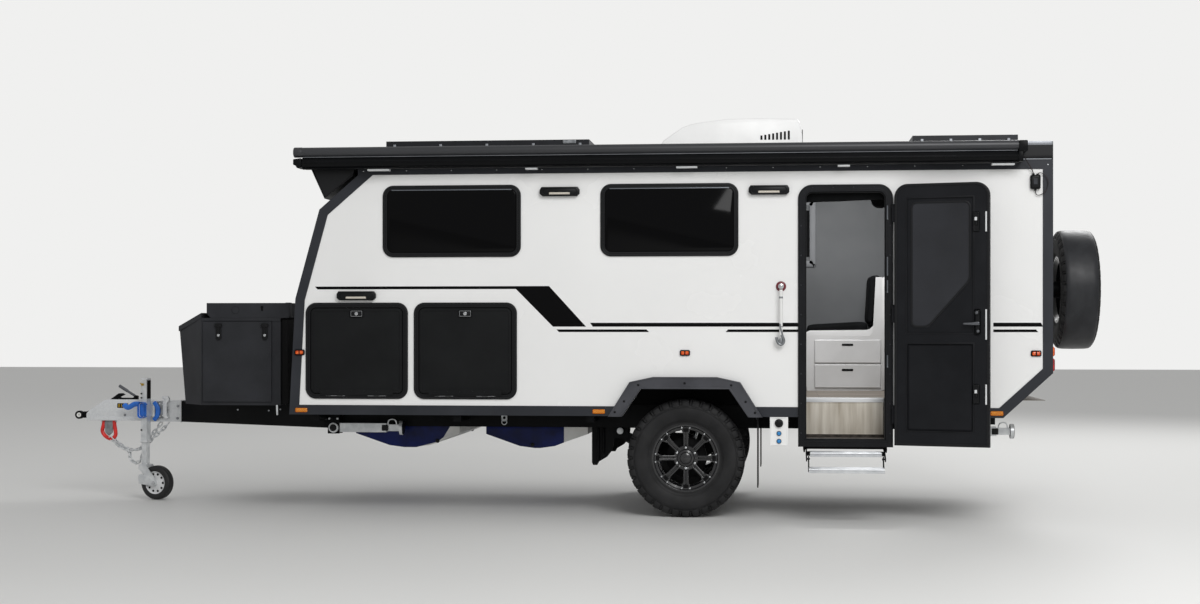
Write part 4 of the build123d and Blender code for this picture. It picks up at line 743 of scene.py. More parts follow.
laminate = finished("grey_laminate", "#BEBEBE", 0.42, drift=("#B9B9B9", "#C3C3C3", 260),
                    relief=(3, 0.03), gloss=(0.36, 0.5, 200))
dress(laminate, "cabin_furniture")
bench_side = -540
fronts, slots = [], []
for z0, z1, slot_z in ((976, 1148, 1111), (794, 968, 927)):
    fronts.append(panel("drawer", (-1343, bench_side - 1, z0), (-862, bench_side + 9, z1), "+y", 6,
                        [(3, 1)], 1))
    slots.append(panel("pull_slot", (-1142, bench_side + 8, slot_z - 8),
                       (-1060, bench_side + 12, slot_z + 8), "+y", 4, [(2.5, 1)], 0.5))
built("bench_drawers", fronts, laminate)
pull_black = finished("black_slot_pull", "#030304", 0.5, Specular_IOR_Level=0.1,
                      drift=("#020203", "#060607", 20))
built("drawer_pulls", slots, pull_black)
fronts = []
for x0, x1 in ((-580, -210), (-200, 170), (180, 550), (560, 930)):
    fronts.append(panel("cupboard", (x0, 470, 930), (x1, 481, 1600), "-y", 6, [(3, 1)], 1))
    fronts.append(panel("plinth_door", (x0, 470, 800), (x1, 481, 920), "-y", 6, [(3, 1)], 1))
built("kitchen_fronts", fronts, laminate)
blind_grey = finished("grey_moulded_blind_frame", "#6A6C6F", 0.5, relief=(3, 0.04),
                      gloss=(0.42, 0.58, 90))
inner = half_width - 30
blinds = [hoop("blind", rounded(x0 - 14, x1 + 14, z0 - 14, z1 + 14, 22, 4), 46, inner - 16, inner, 3)
          for x0, x1, z0, z1 in [(-866, -35, 1711, 2195), *windows]]
right_blind = blinds.pop(0)
blinds += [mirrored(right_blind), mirrored(blinds[0])]
removed(right_blind)
built("window_blinds", blinds, blind_grey)
lining_vinyl = finished("grey_wall_vinyl", "#545658", 0.6, drift=("#505254", "#595B5D", 500),
                        relief=(4, 0.04), gloss=(0.52, 0.68, 200))
lining = slab("wall_lining", [(2420, 830), (2400, 1400), (2270, 1990), (2110, 2225), (-2290, 2225),
                              (-2290, 990), (-2120, 830), (-440, 830), (-440, 920), (440, 920),
                              (440, 830)], -inner, -inner + 2)
shut_blinds = [slab("blind_cloth", rounded(x0 + 30, x1 - 30, z0 + 30, z1 - 30, 8, 4), -inner, -inner + 4)
               for x0, x1, z0, z1 in [(-877, -35, 1743, 2156), windows[0]]]
blind_black = finished("black_blind_cloth", "#0B0C0D", 0.8, Specular_IOR_Level=0.1,
                       drift=("#090A0B", "#0F1011", 80), relief=(3, 0.05))
fitted(lining, lining_vinyl)
built("night_blinds", shut_blinds, blind_black)
end_panel = slab("bench_end_panel", [(-1420, 779), (-805, 779), (-784, 1160), (-788, 1182),
                                     (-800, 1202), (-827, 1215), (-1236, 1219), (-1262, 1226),
                                     (-1286, 1248), (-1300, 1280), (-1307, 1310), (-1327, 1550),
                                     (-1333, 1578), (-1350, 1598), (-1374, 1610), (-1420, 1614)],
                 bench_side - 4, bench_side - 1, 1)
fitted(end_panel, laminate, angle=50)
head = slab("doorway_valance", [(-1335, 2150), (-755, 2150), (-755, 2046), (-1000, 2052),
                                (-1335, 2066)], 962, 998, 3)
fitted(head, blind_black)
pod = slab("overhead_pod", [(-1200, 2290), (-1203, 2140), (-1209, 2081), (-1221, 2046), (-1242, 2030),
                            (-1286, 2026), (-1310, 2040), (-1318, 2139), (-1318, 2290)], 640, 760, 10)
fitted(pod, blind_black, "roof", 50)

# Dinette cushions and mattress. Foam in a charcoal woven cover, laid loose on the bench and bed
# boards; the seat follows the curve of the bench's end panel.

weave, shader = coating("charcoal_woven_polyester", "#07080A", 0.85, Specular_IOR_Level=0.12)
cloud(weave, shader, "#060708", "#0B0C0E", 120)
# Threads lie 0.8 mm apart on the cloth; they are drawn at 4 mm, which is as fine as shows.
place = add_node(weave, "ShaderNodeTexCoord")
threads = [add_node(weave, "ShaderNodeTexWave",
                    {"Vector": place.outputs["Object"], "Scale": 1000 / 4 / 6.28}, bands_direction=way)
           for way in ("X", "Z")]
crossed = add_node(weave, "ShaderNodeMath",
                   {0: threads[0].outputs["Fac"], 1: threads[1].outputs["Fac"]}, operation="MULTIPLY")
relief = add_node(weave, "ShaderNodeBump", {"Height": crossed.outputs[0], "Distance": 0.0006})
weave.node_tree.links.new(relief.outputs[0], shader.inputs["Normal"])

cloth_frames = 20


def foam(name, outline, start, through, reach_mm):
    """A cushion blank swelled by cloth pressure, with how far it may move capped."""
    blank = slab(name, outline, start, through)
    modified(blank, "BEVEL", width=0.012, segments=3, limit_method="ANGLE")
    modified(blank, "REMESH", mode="VOXEL", voxel_size=0.016)
    scene = bpy.context.scene
    rest = [vertex.co.copy() for vertex in blank.data.vertices]
    cloth = blank.modifiers.new("cloth", "CLOTH")
    cloth.settings.use_pressure = True
    cloth.settings.uniform_pressure_force = 4
    cloth.settings.effector_weights.gravity = 0
    for number in range(1, cloth_frames + 1):
        scene.frame_set(number)
    only(blank)
    bpy.ops.object.modifier_apply(modifier="cloth")
    scene.frame_set(1)
    for vertex, place in zip(blank.data.vertices, rest):
        move = vertex.co - place
        vertex.co = place + move * min(1, reach_mm / 1000 / max(move.length, 1e-9))
    return modified(blank, "SUBSURF", levels=1, render_levels=1)


y0, y1, rear, front_x, bench_z, bench_back_z = -half_width + 40, bench_side - 3, -1351, -785, 1175, 1605
seat_pad = foam("dinette_seat_cushion", [(rear + 98, bench_z + 5), (front_x - 14, bench_z + 5),
                                         (front_x - 22, bench_z + 76), (rear + 98, bench_z + 100)],
                y0 + 8, y1 - 8, 8)
back_pad = foam("dinette_back_cushion", [(rear + 86, bench_z + 82), (rear + 64, bench_z + 82),
                                         (rear + 10, bench_back_z - 10), (rear + 10, bench_back_z + 22),
                                         (rear + 80, bench_back_z + 18), (rear + 104, bench_z + 82)],
                y0 + 8, y1 - 8, 8)
bed_pad = foam("bed_mattress", oblong(1020, 2410, 1448, 1548), -half_width + 80, half_width - 80, 10)
for pad, fill in ((seat_pad, 0.8), (back_pad, 0.8), (bed_pad, 0.9)):
    fitted(pad, weave, angle=60)
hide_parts("cushions")

# Lamps. Awning and tunnel lamps are slim black housings with a warm white diffuser; marker lamps
# have an orange lens in a black base; each tail lamp is a black base with an orange and a red lens.

diffuser = finished("warm_white_diffuser", "#CFC8BC", 0.3, Coat_Weight=0.3, gloss=(0.22, 0.36, 30))
orange = finished("orange_polycarbonate", "#F0601A", 0.12, Coat_Weight=0.5,
                  drift=("#D9480C", "#FF7A2A", 18), gloss=(0.08, 0.18, 20))
red = finished("red_polycarbonate", "#B3141A", 0.12, Coat_Weight=0.5, drift=("#9A0D14", "#CF2A2C", 20),
               gloss=(0.08, 0.18, 20))


def strip_lamp(x, z):
    """Housing, recess and diffuser of an awning lamp, on the door side."""
    outline = [(-130, -14), (-112, -30), (112, -30), (130, -14), (130, 12), (118, 30), (-118, 30),
               (-130, 12)]
    case = slab("case", [(x + a, z + b) for a, b in outline], half_width - 1, half_width + 30, 2)
    lip = hoop("lip", [(x + a * 0.9, z + b * 0.86) for a, b in outline], 6, half_width + 28, half_width
               + 35, 2)
    lens = panel("lens", (x - 68, half_width + 28, z - 21), (x + 68, half_width + 33, z - 5), "+y", 5,
                 [(3, 1)], 1)
    dots = [peg("led", x + k, z - 13, half_width + 33, half_width + 35, 4.5, 12, 1)
            for k in range(-56, 57, 16)]
    return [case, lip], [lens, *dots]


cases, lenses = [], []
for x, z, sides in ((815, 2122, "lr"), (-541, 2122, "l"), (-1150, 2122, "r"), (2165, 1446, "lr")):
    case, lens = strip_lamp(x, z)
    cases += sided(case, sides)
    lenses += sided(lens, sides)
markers = []
for x in (0, -2226, 2549):
    y = half_width + (4 if x > 2500 else 0)
    base = panel("base", (x - 33, y - 1, 1054), (x + 33, y + 9, 1092), "+y", 10, [(4, 1)], 1.5)
    lens = panel("lens", (x - 25, y + 8, 1061), (x + 25, y + 17, 1085), "+y", 9, [(4, 2.5), (5, 1)], 2)
    web = panel("web", (x - 4, y + 9, 1062), (x + 4, y + 20, 1084), "+y", 1.5, [(1.5, 0.5)], 0.5)
    cases += paired(base, web)
    markers += paired(lens)
rear_x, reds = -2328, []
for z0, z1, kept in ((950, 1040, reds), (1046, 1115, markers)):
    lens = panel("lens", (rear_x - 38, half_width - 284, z0 + 4), (rear_x - 14, half_width - 156, z1),
                 "-x", 12, [(6, 2), (8, -1)], 3)
    kept += paired(lens)
backing = panel("backing", (rear_x - 16, half_width - 290, 940), (rear_x + 1, half_width - 150, 1125),
                "-x", 10, [(4, 1)], 3)
cases += paired(backing)
built("lamp_cases", cases, moulded_frame)
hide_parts("lamps")
built("lamp_diffusers", lenses, diffuser)
built("marker_lenses", markers, orange)
built("stop_lenses", reds, red)

# Junction box. A ribbed black enclosure with two cable glands on the wall behind the door, which
# feeds the awning's lights; one lead loops from its head round to its foot.

box_x, box_z = -2220, (wall_top - 132, wall_top - 32)
box_body = panel("body", (box_x - 32, half_width - 1, box_z[0] + 4),
                 (box_x + 32, half_width + 30, box_z[1] - 6), "+y", 10, [(5, 2), (8, -3)], 1.5)
cover_plate = panel("cover_plate", (box_x - 14, half_width + 27, box_z[0] + 30),
                    (box_x + 16, half_width + 35, box_z[1] - 26), "+y", 3, [(3, 1)], 1)
glands = [rod("gland", (box_x + a, half_width + 14, z0), (box_x + a, half_width + 14, z1), 8, 16, 2)
          for a, z0, z1 in ((12, box_z[1] - 8, box_z[1] + 4), (-14, box_z[1] - 8, box_z[1] + 2),
                            (0, box_z[0] + 6, box_z[0] - 6))]
built("junction_box", [box_body, *glands], moulded_frame)
fitted(cover_plate, trim_coat)


def bent(name, points, radius, closed=False, straight=False, sides=3):
    """A bar or tube of one thickness that follows a smooth line through places in millimetres."""
    line = bpy.data.curves.new(name, "CURVE")
    line.dimensions = "3D"
    line.bevel_depth = radius / 1000
    line.bevel_resolution = sides
    line.use_fill_caps = True
    path = line.splines.new("POLY" if straight else "NURBS")
    path.points.add(len(points) - 1)
    for point, place in zip(path.points, points):
        point.co = (*spot(*place), 1)
    path.use_cyclic_u = closed
    if not straight:
        path.order_u = 3
        path.use_endpoint_u = not closed
        path.resolution_u = 6
    piece = bpy.data.objects.new(name, line)
    bpy.context.scene.collection.objects.link(piece)
    only(piece)
    bpy.ops.object.convert(target="MESH")
    return outward(bpy.context.object)


cable = finished("black_pvc_cable", "#1A1313", 0.45, drift=("#141112", "#2A1717", 60),
                 gloss=(0.36, 0.52, 30))
cy = half_width + 14
loop = bent("lamp_loop_lead", [(box_x - 14, cy, box_z[1] - 2), (box_x - 22, cy + 2, box_z[1] + 12),
                               (box_x - 60, cy + 6, box_z[1] - 4), (box_x - 84, cy + 6, box_z[1] - 52),
                               (box_x - 66, cy + 4, box_z[1] - 112),
                               (box_x - 26, cy + 2, box_z[1] - 138), (box_x, cy, box_z[0] - 30),
                               (box_x, cy, box_z[0] + 2)], 2.6)
fitted(loop, cable, angle=60)
lead = bent("awning_feed_lead", [(box_x + 12, cy, box_z[1] - 2), (box_x + 14, cy, box_z[1] + 16),
                                 (box_x + 40, cy + 22, box_z[1] + 52),
                                 (box_x + 62, cy + 40, box_z[1] + 84),
                                 (box_x + 72, cy + 44, box_z[1] + 104)], 3)
settle(lead)
lead.data.materials.append(cable)
bpy.ops.object.shade_smooth_by_angle(angle=math.radians(60))
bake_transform(lead)
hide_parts("awning_lead")

# Grab handle. A white bar between a hinged upper bracket and a hooked lower one, bolted through the
# wall beside the door, so that it swings flat for travel on the real one.

handle_x = -618
white_bar = finished("white_moulded_handle", "#E9E9E7", 0.3, Coat_Weight=0.2, relief=(40, 0.03),
                     gloss=(0.24, 0.4, 60))
cast_grey = finished("satin_cast_zinc", "#8C8F92", 0.36, Metallic=0.85,
                     drift=("#7E8184", "#9A9DA0", 30), gloss=(0.3, 0.46, 25))
maroon = finished("maroon_handle_cap", "#6A1420", 0.3, gloss=(0.24, 0.38, 30))
hy = half_width + 48
grip = bent("assist_grip", [(handle_x, hy, 1480), (handle_x, hy, 1400), (handle_x, hy, 1300),
                            (handle_x, hy, 1190)], 11, sides=6)
ferrules = [rod("ferrule", (handle_x, hy, z0), (handle_x, hy, z1), 12.5, 24, 1.5)
            for z0, z1 in ((1424, 1436), (1240, 1246))]
cup_z = 1502
ring = peg("ring", handle_x, cup_z, half_width - 1, half_width + 12, 34, 32, 3, top=30)
cup = peg("cup", handle_x, cup_z, half_width + 10, half_width + 46, 20, 24, 4, top=17)
hook = bent("hook", [(handle_x + 2, hy + 2, 1262), (handle_x + 2, hy + 4, 1200),
                     (handle_x - 24, hy - 4, 1152), (handle_x - 4, hy - 6, 1122),
                     (handle_x + 26, hy - 6, 1142), (handle_x + 30, hy - 6, 1176)], 9, sides=5)
foot = peg("foot", handle_x, 1152, half_width - 1, half_width + 44, 16, 24, 3)
stud = peg("stud", handle_x, cup_z, half_width + 44, half_width + 52, 9, 18, 1.5)
fitted(grip, white_bar, angle=50)
built("handle_ring", [ring], maroon)
built("handle_brackets", [hook, foot, *ferrules], cast_grey, angle=45)
built("handle_studs", [stud, cup], stainless)
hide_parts("grab_handle")

# Wheel arch flares. Vacuum-formed black ABS with a coarse grain and a rolled lip at each edge, fixed
# with capped screws; a plain liner closes the wheel box behind it.

arch_foot, arch_head, arch_top, sill = 404, 285, 840, 666


def arch(grow, low_z):
    """Outline of the wheel arch, grown by an amount, from its rear foot over the top to its front one."""
    low = arch_foot + grow + (arch_foot - arch_head) / (arch_top - sill) * (sill - low_z)
    rear = [(-low, low_z), (-arch_foot - grow, sill), (-arch_head - grow * 0.8, arch_top + grow * 0.5),
            (-arch_head + grow * 0.2 + 60, arch_top + grow * 0.86)]
    return rear + [(-x, z) for x, z in reversed(rear)]


flare_abs = finished("grained_black_abs", "#3A3B40", 0.52, Specular_IOR_Level=0.35,
                     drift=("#36373C", "#45464B", 180), relief=(5, 0.18), gloss=(0.42, 0.62, 90))
dress(flare_abs, "wheel_arch_flares")
lips = []
for inner_edge, outer_edge in ((2, 13), (77, 88)):
    lip = slab("lip", arch(outer_edge, sill - 4) + arch(inner_edge, sill - 4)[::-1], half_width + 44,
               half_width + 48, 1.6)
    lips += paired(lip)
built("flare_lips", lips, flare_abs)
caps = []
for x, z in ((-392, 760), (-300, 866), (0, 878), (300, 866), (392, 760), (-452, 690), (452, 690)):
    cap = peg("cap", x, z, half_width + 44, half_width + 49, 9, 16, 2, top=6)
    caps += paired(cap)
built("flare_caps", caps, moulded_frame)
liner = finished("black_polyethylene_liner", "#08090A", 0.7, Specular_IOR_Level=0.1, relief=(12, 0.4),
                 gloss=(0.6, 0.8, 100))
dress(liner, "wheel_wells")
flap_rubber = finished("reinforced_rubber_sheet", "#111112", 0.6, Specular_IOR_Level=0.2,
                       relief=(30, 0.8, (1, 0.6, 0.3)), gloss=(0.5, 0.72, 80))
dress(flap_rubber, "mud_flaps")
bar = panel("bar", (-464.5, 735, 640), (-458, 985, 668), "+x", 3, [(4, 1)], 1)
bolts = [rod("bolt", (-458, y, 654), (-453, y, 654), 7, 6, 1) for y in (770, 860, 950)]
built("flap_clamps", paired(bar, *bolts), trim_coat)

# Service panel. A white moulded plate below the sill with a black filler neck and two blue water
# inlets under hinged caps.

panel_white = finished("white_abs_panel", "#F4F4F3", 0.32, relief=(30, 0.04), gloss=(0.28, 0.4, 60))
dress(panel_white, "service_panel")
rim = hoop("service_rim", rounded(-661, -549, 478, 660, 10, 4), 7, half_width - 1, half_width + 3, 1.2)
fitted(rim, panel_white)
blue_cap = finished("blue_moulded_cap", "#2E86C9", 0.3, gloss=(0.24, 0.38, 20))
neck = [peg("neck", -605, 622, half_width - 1, half_width + 14, 27, 32, 3),
        peg("cap", -605, 622, half_width + 13, half_width + 20, 20, 24, 2)]
collars = [peg("collar", -605, z, half_width - 1, half_width + 6, 16, 24, 1.5) for z in (556, 506)]
built("filler_neck", neck + collars, moulded_frame)
inlets = [peg("inlet", -605, z, half_width + 4, half_width + 13, 12, 24, 2.5) for z in (556, 506)]
built("water_inlets", inlets, blue_cap)

# Tyres. All-terrain tyres, 385 mm in radius. Thirty-four pitches of blocks stand 10 mm off the
# carcass; the shoulder lugs run on down the sidewall. The sidewalls carry no lettering.


def spun(name, profile, steps=64, axis=(0, 1, 0)):
    """A ring turned about the axle from a closed outline of radius and distance along it."""
    bpy.ops.object.select_all(action="DESELECT")
    bpy.ops.mesh.primitive_circle_add(vertices=len(profile), fill_type="NOTHING")
    piece = bpy.context.object
    piece.name = name
    for vertex, (radius, along) in zip(piece.data.vertices, profile):
        vertex.co = spot(0, along, radius) if axis[1] else spot(radius, 0, along)
    piece = only(piece)
    bpy.ops.object.transform_apply(location=True, rotation=True, scale=True)
    bpy.ops.object.mode_set(mode="EDIT")
    bpy.ops.mesh.select_all(action="SELECT")
    bpy.ops.mesh.spin(steps=steps, angle=math.tau, center=spot(0, 0, 0), axis=axis, use_auto_merge=True)
    bpy.ops.mesh.select_all(action="SELECT")
    bpy.ops.mesh.remove_doubles(threshold=0.00005)
    bpy.ops.mesh.delete_loose(use_verts=True, use_edges=True)
    bpy.ops.object.mode_set(mode="OBJECT")
    return outward(piece)


tyre_rubber = finished("carbon_black_rubber", "#19191A", 0.62, Specular_IOR_Level=0.3,
                       drift=("#171718", "#242425", 140), relief=(4, 0.12), gloss=(0.5, 0.78, 90))
side = [(203, 92), (212, 101), (222, 104), (232, 103), (240, 108), (262, 119), (288, 124), (314, 124),
        (338, 119), (356, 109), (368, 95), (374, 76), (375, 40)]
carcass = spun("carcass", side + [(radius, -along) for radius, along in reversed(side)], 96)
for radius, along in ((246, 110.5), (331, 121)):
    for way in (1, -1):
        bead = spun("bead", [(radius - 3, way * (along - 4)), (radius, way * (along + 2)),
                             (radius + 3, way * (along - 4))], 96)
        carcass = joined("carcass", [carcass, bead])
blocks = []
for way, lead_in in ((1, 0.0), (-1, 5.3)):
    lug = slab("lug", [(way * y, z) for y, z in ((66, 372), (66, 383.5), (94, 383), (110, 374),
                                                 (119.5, 356), (122, 340), (118, 338), (108, 358),
                                                 (92, 370))], -22, 22, 2.5, "yz")
    short = slab("short",
                 [(way * y, z) for y, z in ((84, 372), (84, 381), (103, 378), (117, 359), (120, 350),
                                            (116, 348), (100, 368))], 27, 37, 1.5, "yz")
    blocks += [turned(lug, lead_in), turned(short, lead_in)]
    row = slab("row", [(-21, way * 20), (4, way * 18), (20, way * 27), (25, way * 50), (0, way * 57),
                       (-19, way * 50), (-24, way * 34)], 372, 384, 2, "xy")
    sipe = slab("sipe", oblong(-14, 12, way * 36, way * 39), 383, 385, 0, "xy")
    blocks += [turned(row, 3.0 - lead_in)]
    removed(lug, short, row, sipe)
blocks.append(slab("rib", [(-24, -12), (-4, -14), (2, -6), (22, -12), (24, 8), (6, 14), (-2, 6),
                           (-22, 12)], 372, 384.4, 2, "xy"))
pitch = joined("pitch", blocks)
pitches = 34
tread = joined("tread", [turned(pitch, 360 / pitches * k) for k in range(pitches)])
removed(pitch)
tyre = joined("tyre", [carcass, tread])

# Wheels. Cast aluminium rims in gloss black enamel: eight twin-rib spokes that climb to the lip, a
# black block and two bright bolts where each one ends, six chromed nuts round a plain black cap.

gloss_black = finished("gloss_black_enamel", "#151517", 0.24, Coat_Weight=0.6, Coat_Roughness=0.08,
                       relief=(6, 0.02), gloss=(0.14, 0.3, 60))
# This matt black also draws the jockey rim's holes, as painted shade.
matt_black = finished("matt_black_insert_and_painted_hole_shade", "#0B0B0C", 0.6, Specular_IOR_Level=0.12, relief=(2, 0.05),
                      gloss=(0.5, 0.7, 30))
lip = 92
barrel = spun("barrel", [(202.7, -lip), (202.7, lip), (221, lip + 7), (221, lip + 13), (215, lip + 14),
                         (209, lip + 12), (204, lip + 4), (190, lip - 4), (186, lip - 10),
                         (186, -lip + 10), (209, -lip - 14), (221, -lip - 14), (221, -lip - 7)], 64)
band = spun("band", [(187, 72), (185, 86), (188, 91), (206, 96), (210, 94), (210, 74)], 64)
hub = spun("hub", [(0, 54), (84, 54), (84, 64), (78, 70), (58, 72), (52, 82), (38, 86), (35, 95),
                   (29, 99), (0, 99)], 48)
cap_ring = spun("cap_ring", [(36, 86), (40, 86), (41, 90), (38.5, 92), (36, 90)], 48)
spoke = []
for way in (1, -1):
    spoke.append(slab("rib", [(50, 54), (70, 56), (76, 70), (78, 120), (88, 168), (91, 188), (68, 190),
                              (58, 120), (50, 80)], way * 5, way * 16, 2, "yz"))
    spoke.append(slab("fork", [(way * 14, 152), (way * 27, 178), (way * 30, 192), (way * 18, 192),
                               (way * 10, 166)], 70, 90, 2, "xz"))
spoke.append(slab("web", [(50, 62), (62, 62), (66, 120), (74, 188), (56, 188), (52, 120)], -8, 8, 1, "yz"))
blocks = [panel("block", (-16, 72, 173), (16, 95, 196), "+y", 3, [(3, 1)], 1.5)]
bolts = [peg("bolt", x, 197, 92, 99, 7.5, 12, 1.5, top=5) for x in (-26, 26)]
spokes = [turned(piece, 45 * k) for k in range(8) for piece in spoke]
inserts = [turned(piece, 45 * k) for k in range(8) for piece in blocks]
studs = [turned(piece, 45 * k) for k in range(8) for piece in bolts]
nut = peg("nut", 0, 67, 66, 84, 10, 6, 1.5, top=8)
studs += [turned(nut, 60 * k) for k in range(6)]
removed(*spoke, *blocks, *bolts, nut)
rim = joined("rim", [barrel, band, hub, cap_ring, *spokes])
inserts = joined("inserts", inserts)
studs = joined("studs", studs)
drum = spun("drum", [(31, -40), (128, -40), (134, -34), (134, -8), (120, -2), (62, -2), (60, 54),
                     (31, 54)], 48)
axle_z = joints["left_wheel_spin"]["pos_m"][2] * 1000
wheel_y = (joints["left_wheel_spin"]["pos_m"][1] - centre_y) * 1000
spare_at, spare_turn = (-2540, 520, 1488), 90
for place, body, move, spin in (("left", "left_wheel", (0, wheel_y, axle_z), 0),
                                ("right", "right_wheel", (0, -wheel_y, axle_z), 180),
                                ("spare", "caravan", spare_at, spare_turn)):
    for piece, name, material in ((tyre, "tyre", tyre_rubber), (rim, "rim", gloss_black),
                                  (inserts, "spoke_ends", matt_black),
                                  (studs, "wheel_studs", stainless), (drum, "brake_drum", matt_black)):
        if place == "spare" and name == "brake_drum":
            continue
        placed = copied(piece, placing(move, spin))
        placed.name = placed.data.name = f"{place}_{name}_detail"
        fitted(placed, material, body)
        if name in ("tyre", "rim"):
            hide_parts(f"{place}_{name}")
removed(tyre, rim, inserts, studs, drum)

# Chassis. A ladder frame of rectangular steel tube, welded and painted in black enamel, with its
# drawbar rails running in to the coupling; plates and bolts hang the suspension from it.

enamel = finished("black_chassis_enamel", "#060708", 0.42, Specular_IOR_Level=0.1,
                  drift=("#050607", "#0B0C0E", 350), relief=(14, 0.08), gloss=(0.34, 0.56, 120))
dress(enamel, "chassis_frame", "suspension_arms")
zinc = finished("zinc_plated_steel", "#D2D4D6", 0.36, Metallic=0.45, drift=("#C6C9CB", "#DCDEDF", 45),
                relief=(10, 0.04), gloss=(0.26, 0.44, 30))
rail_face, arm_y, pivot = 715, 600, (456, 544)
plates, bright = [], []
for x in (604, 568):
    plates.append(rod("hanger_rib", (x, arm_y + 59, 350 if x > 600 else 390), (x, arm_y + 59, 565), 11,
                      16, 2))
plates.append(peg("pivot_nut", pivot[0], pivot[1], arm_y + 55, arm_y + 66, 34, 32, 2))
bright.append(peg("pivot_bolt", pivot[0], pivot[1], arm_y + 65, arm_y + 76, 22, 32, 2))
bright.append(peg("pivot_head", pivot[0], pivot[1], arm_y + 75, arm_y + 83, 13, 6, 1.5))
plates = paired(*plates)
bright = paired(*bright)
built("hanger_ribs", plates, enamel)
tie = panel("tie_plate", (1214, rail_face - 1, 606), (1254, rail_face + 5, 652), "+y", 12, [(4, 0.5)], 1)
bright += [tie, bent("tie_ring", [(1246, rail_face + 6, 618), (1254, rail_face + 8, 596),
                                  (1234, rail_face + 9, 580), (1214, rail_face + 8, 596),
                                  (1222, rail_face + 6, 618)], 3, True)]
built("chassis_fixings", bright, zinc)
tie_hole = peg("tie_boss", 1234, 630, rail_face + 3, rail_face + 8, 10, 20, 1.5)
fitted(tie_hole, enamel)

# Suspension. A coil spring and a damper stand on each trailing arm; the spring steel is powder
# coated and the damper has a black can over a bright rod.

spring_x, seat_z, head_z, turns = 170, 455, 669, 6
coil_line = []
for k in range(turns * 12 + 1):
    turn = k / 12
    coil_line.append((spring_x + 43 * math.cos(math.tau * turn), arm_y + 43 * math.sin(math.tau * turn),
                      seat_z + 7 + (head_z - seat_z - 14) * k / (turns * 12)))
coil = bent("coil", coil_line, 7)
damper = [rod("can", (-60, arm_y, 560), (-100, arm_y, 660), 24, 24, 3),
          rod("rod", (-22, arm_y, 440), (-62, arm_y, 562), 13, 20, 2)]
eyes = [peg("eye", -20, 432, arm_y - 22, arm_y + 22, 20, 24, 3),
        peg("eye", -104, 664, arm_y - 22, arm_y + 22, 20, 24, 3)]
springs = joined("coil_springs", paired(coil))
fitted(springs, enamel, angle=50)
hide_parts("suspension_springs")
built("damper_cans", paired(damper[0], *eyes), enamel)
built("damper_rods", paired(damper[1]), stainless)

# Water tanks. Rotomoulded pale polyethylene, strapped across the frame; a dark blue stone guard
# wraps the front and belly of each and is bolted through.

tank_grey = finished("pale_rotomoulded_polyethylene", "#D2D2CF", 0.5, drift=("#CACAC7", "#DADAD7", 120),
                     relief=(25, 0.2), gloss=(0.42, 0.6, 80))
dress(tank_grey, "water_tanks")
guard_blue = finished("blue_moulded_guard", "#05134A", 0.34, Specular_IOR_Level=0.2,
                      drift=("#040F3B", "#081B5E", 160), relief=(30, 0.12), gloss=(0.26, 0.44, 70))
tank_side = 665
guards = [slab("guard", outline, -tank_side - 3, tank_side + 3, 3)
          for outline in ([(2266, 572), (2266, 517), (2032, 437), (1932, 424), (1848, 424), (1700, 462),
                           (1660, 492), (1611, 572)],
                          [(1367, 572), (1367, 517), (1138, 437), (1038, 424), (998, 424), (898, 438),
                           (836, 462), (836, 572)])]
built("tank_guards", guards, guard_blue)
bolts = [peg("bolt", x, z, way * (tank_side + 1), way * (tank_side + 12), 15, 20, 3, top=10)
         for x, z in ((1700, 468), (1050, 446)) for way in (1, -1)]
built("guard_bolts", bolts, moulded_frame)

# Stabiliser legs. Zinc plated square tube swung up under the frame, each with a cast boss over its
# pivot, a pull ring for its catch and a black rubber pad under its foot.

dress(zinc, "front_left_leg", "front_right_leg", "rear_left_leg", "rear_right_leg")
leg_y, leg_z = 770, 562
for end, pivot_x in (("front", 2385), ("rear", -1650)):
    boss = peg("boss", pivot_x, leg_z, leg_y + 39, leg_y + 50, 36, 40, 3, top=33)
    hub_cap = peg("hub_cap", pivot_x, leg_z, leg_y + 49, leg_y + 53, 24, 32, 1.5)
    catch = [peg("catch", pivot_x + a, leg_z + 62, leg_y + 38, leg_y + 48, 8, 6, 1.5) for a in (-28, 28)]
    pad = rod("pad", (pivot_x - 474, leg_y, leg_z), (pivot_x - 448, leg_y, leg_z), 47, 40, 4)
    pull = bent("pull", [(pivot_x - 372, leg_y + 28, leg_z + 22),
                         (pivot_x - 372, leg_y + 34, leg_z + 48),
                         (pivot_x - 398, leg_y + 36, leg_z + 62),
                         (pivot_x - 430, leg_y + 34, leg_z + 52),
                         (pivot_x - 430, leg_y + 28, leg_z + 22)], 4.5)
    ratchet = panel("ratchet", (pivot_x - 372, leg_y + 20, leg_z - 20),
                    (pivot_x - 330, leg_y + 37, leg_z + 20), "+y", 5, [(5, 1.5)], 1.5)
    for side, sided_copy in (("left", shifted), ("right", mirrored)):
        body = f"{end}_{side}_leg"
        for name, pieces, material, carrier in (("boss", [boss, *catch], zinc, "caravan"),
                                                ("boss_cap", [hub_cap], moulded_frame, "caravan"),
                                                ("ratchet", [ratchet], moulded_frame, body),
                                                ("pad", [pad], bead_rubber, body),
                                                ("pull", [pull], zinc, body)):
            built(f"{body}_{name}", [sided_copy(piece) for piece in pieces], material, carrier)
    removed(boss, hub_cap, pad, pull, ratchet, *catch)

# Entry step. Two pressed aluminium treads with a ribbed top and a bright front lip, on black folding
# links that hinge under the doorway.

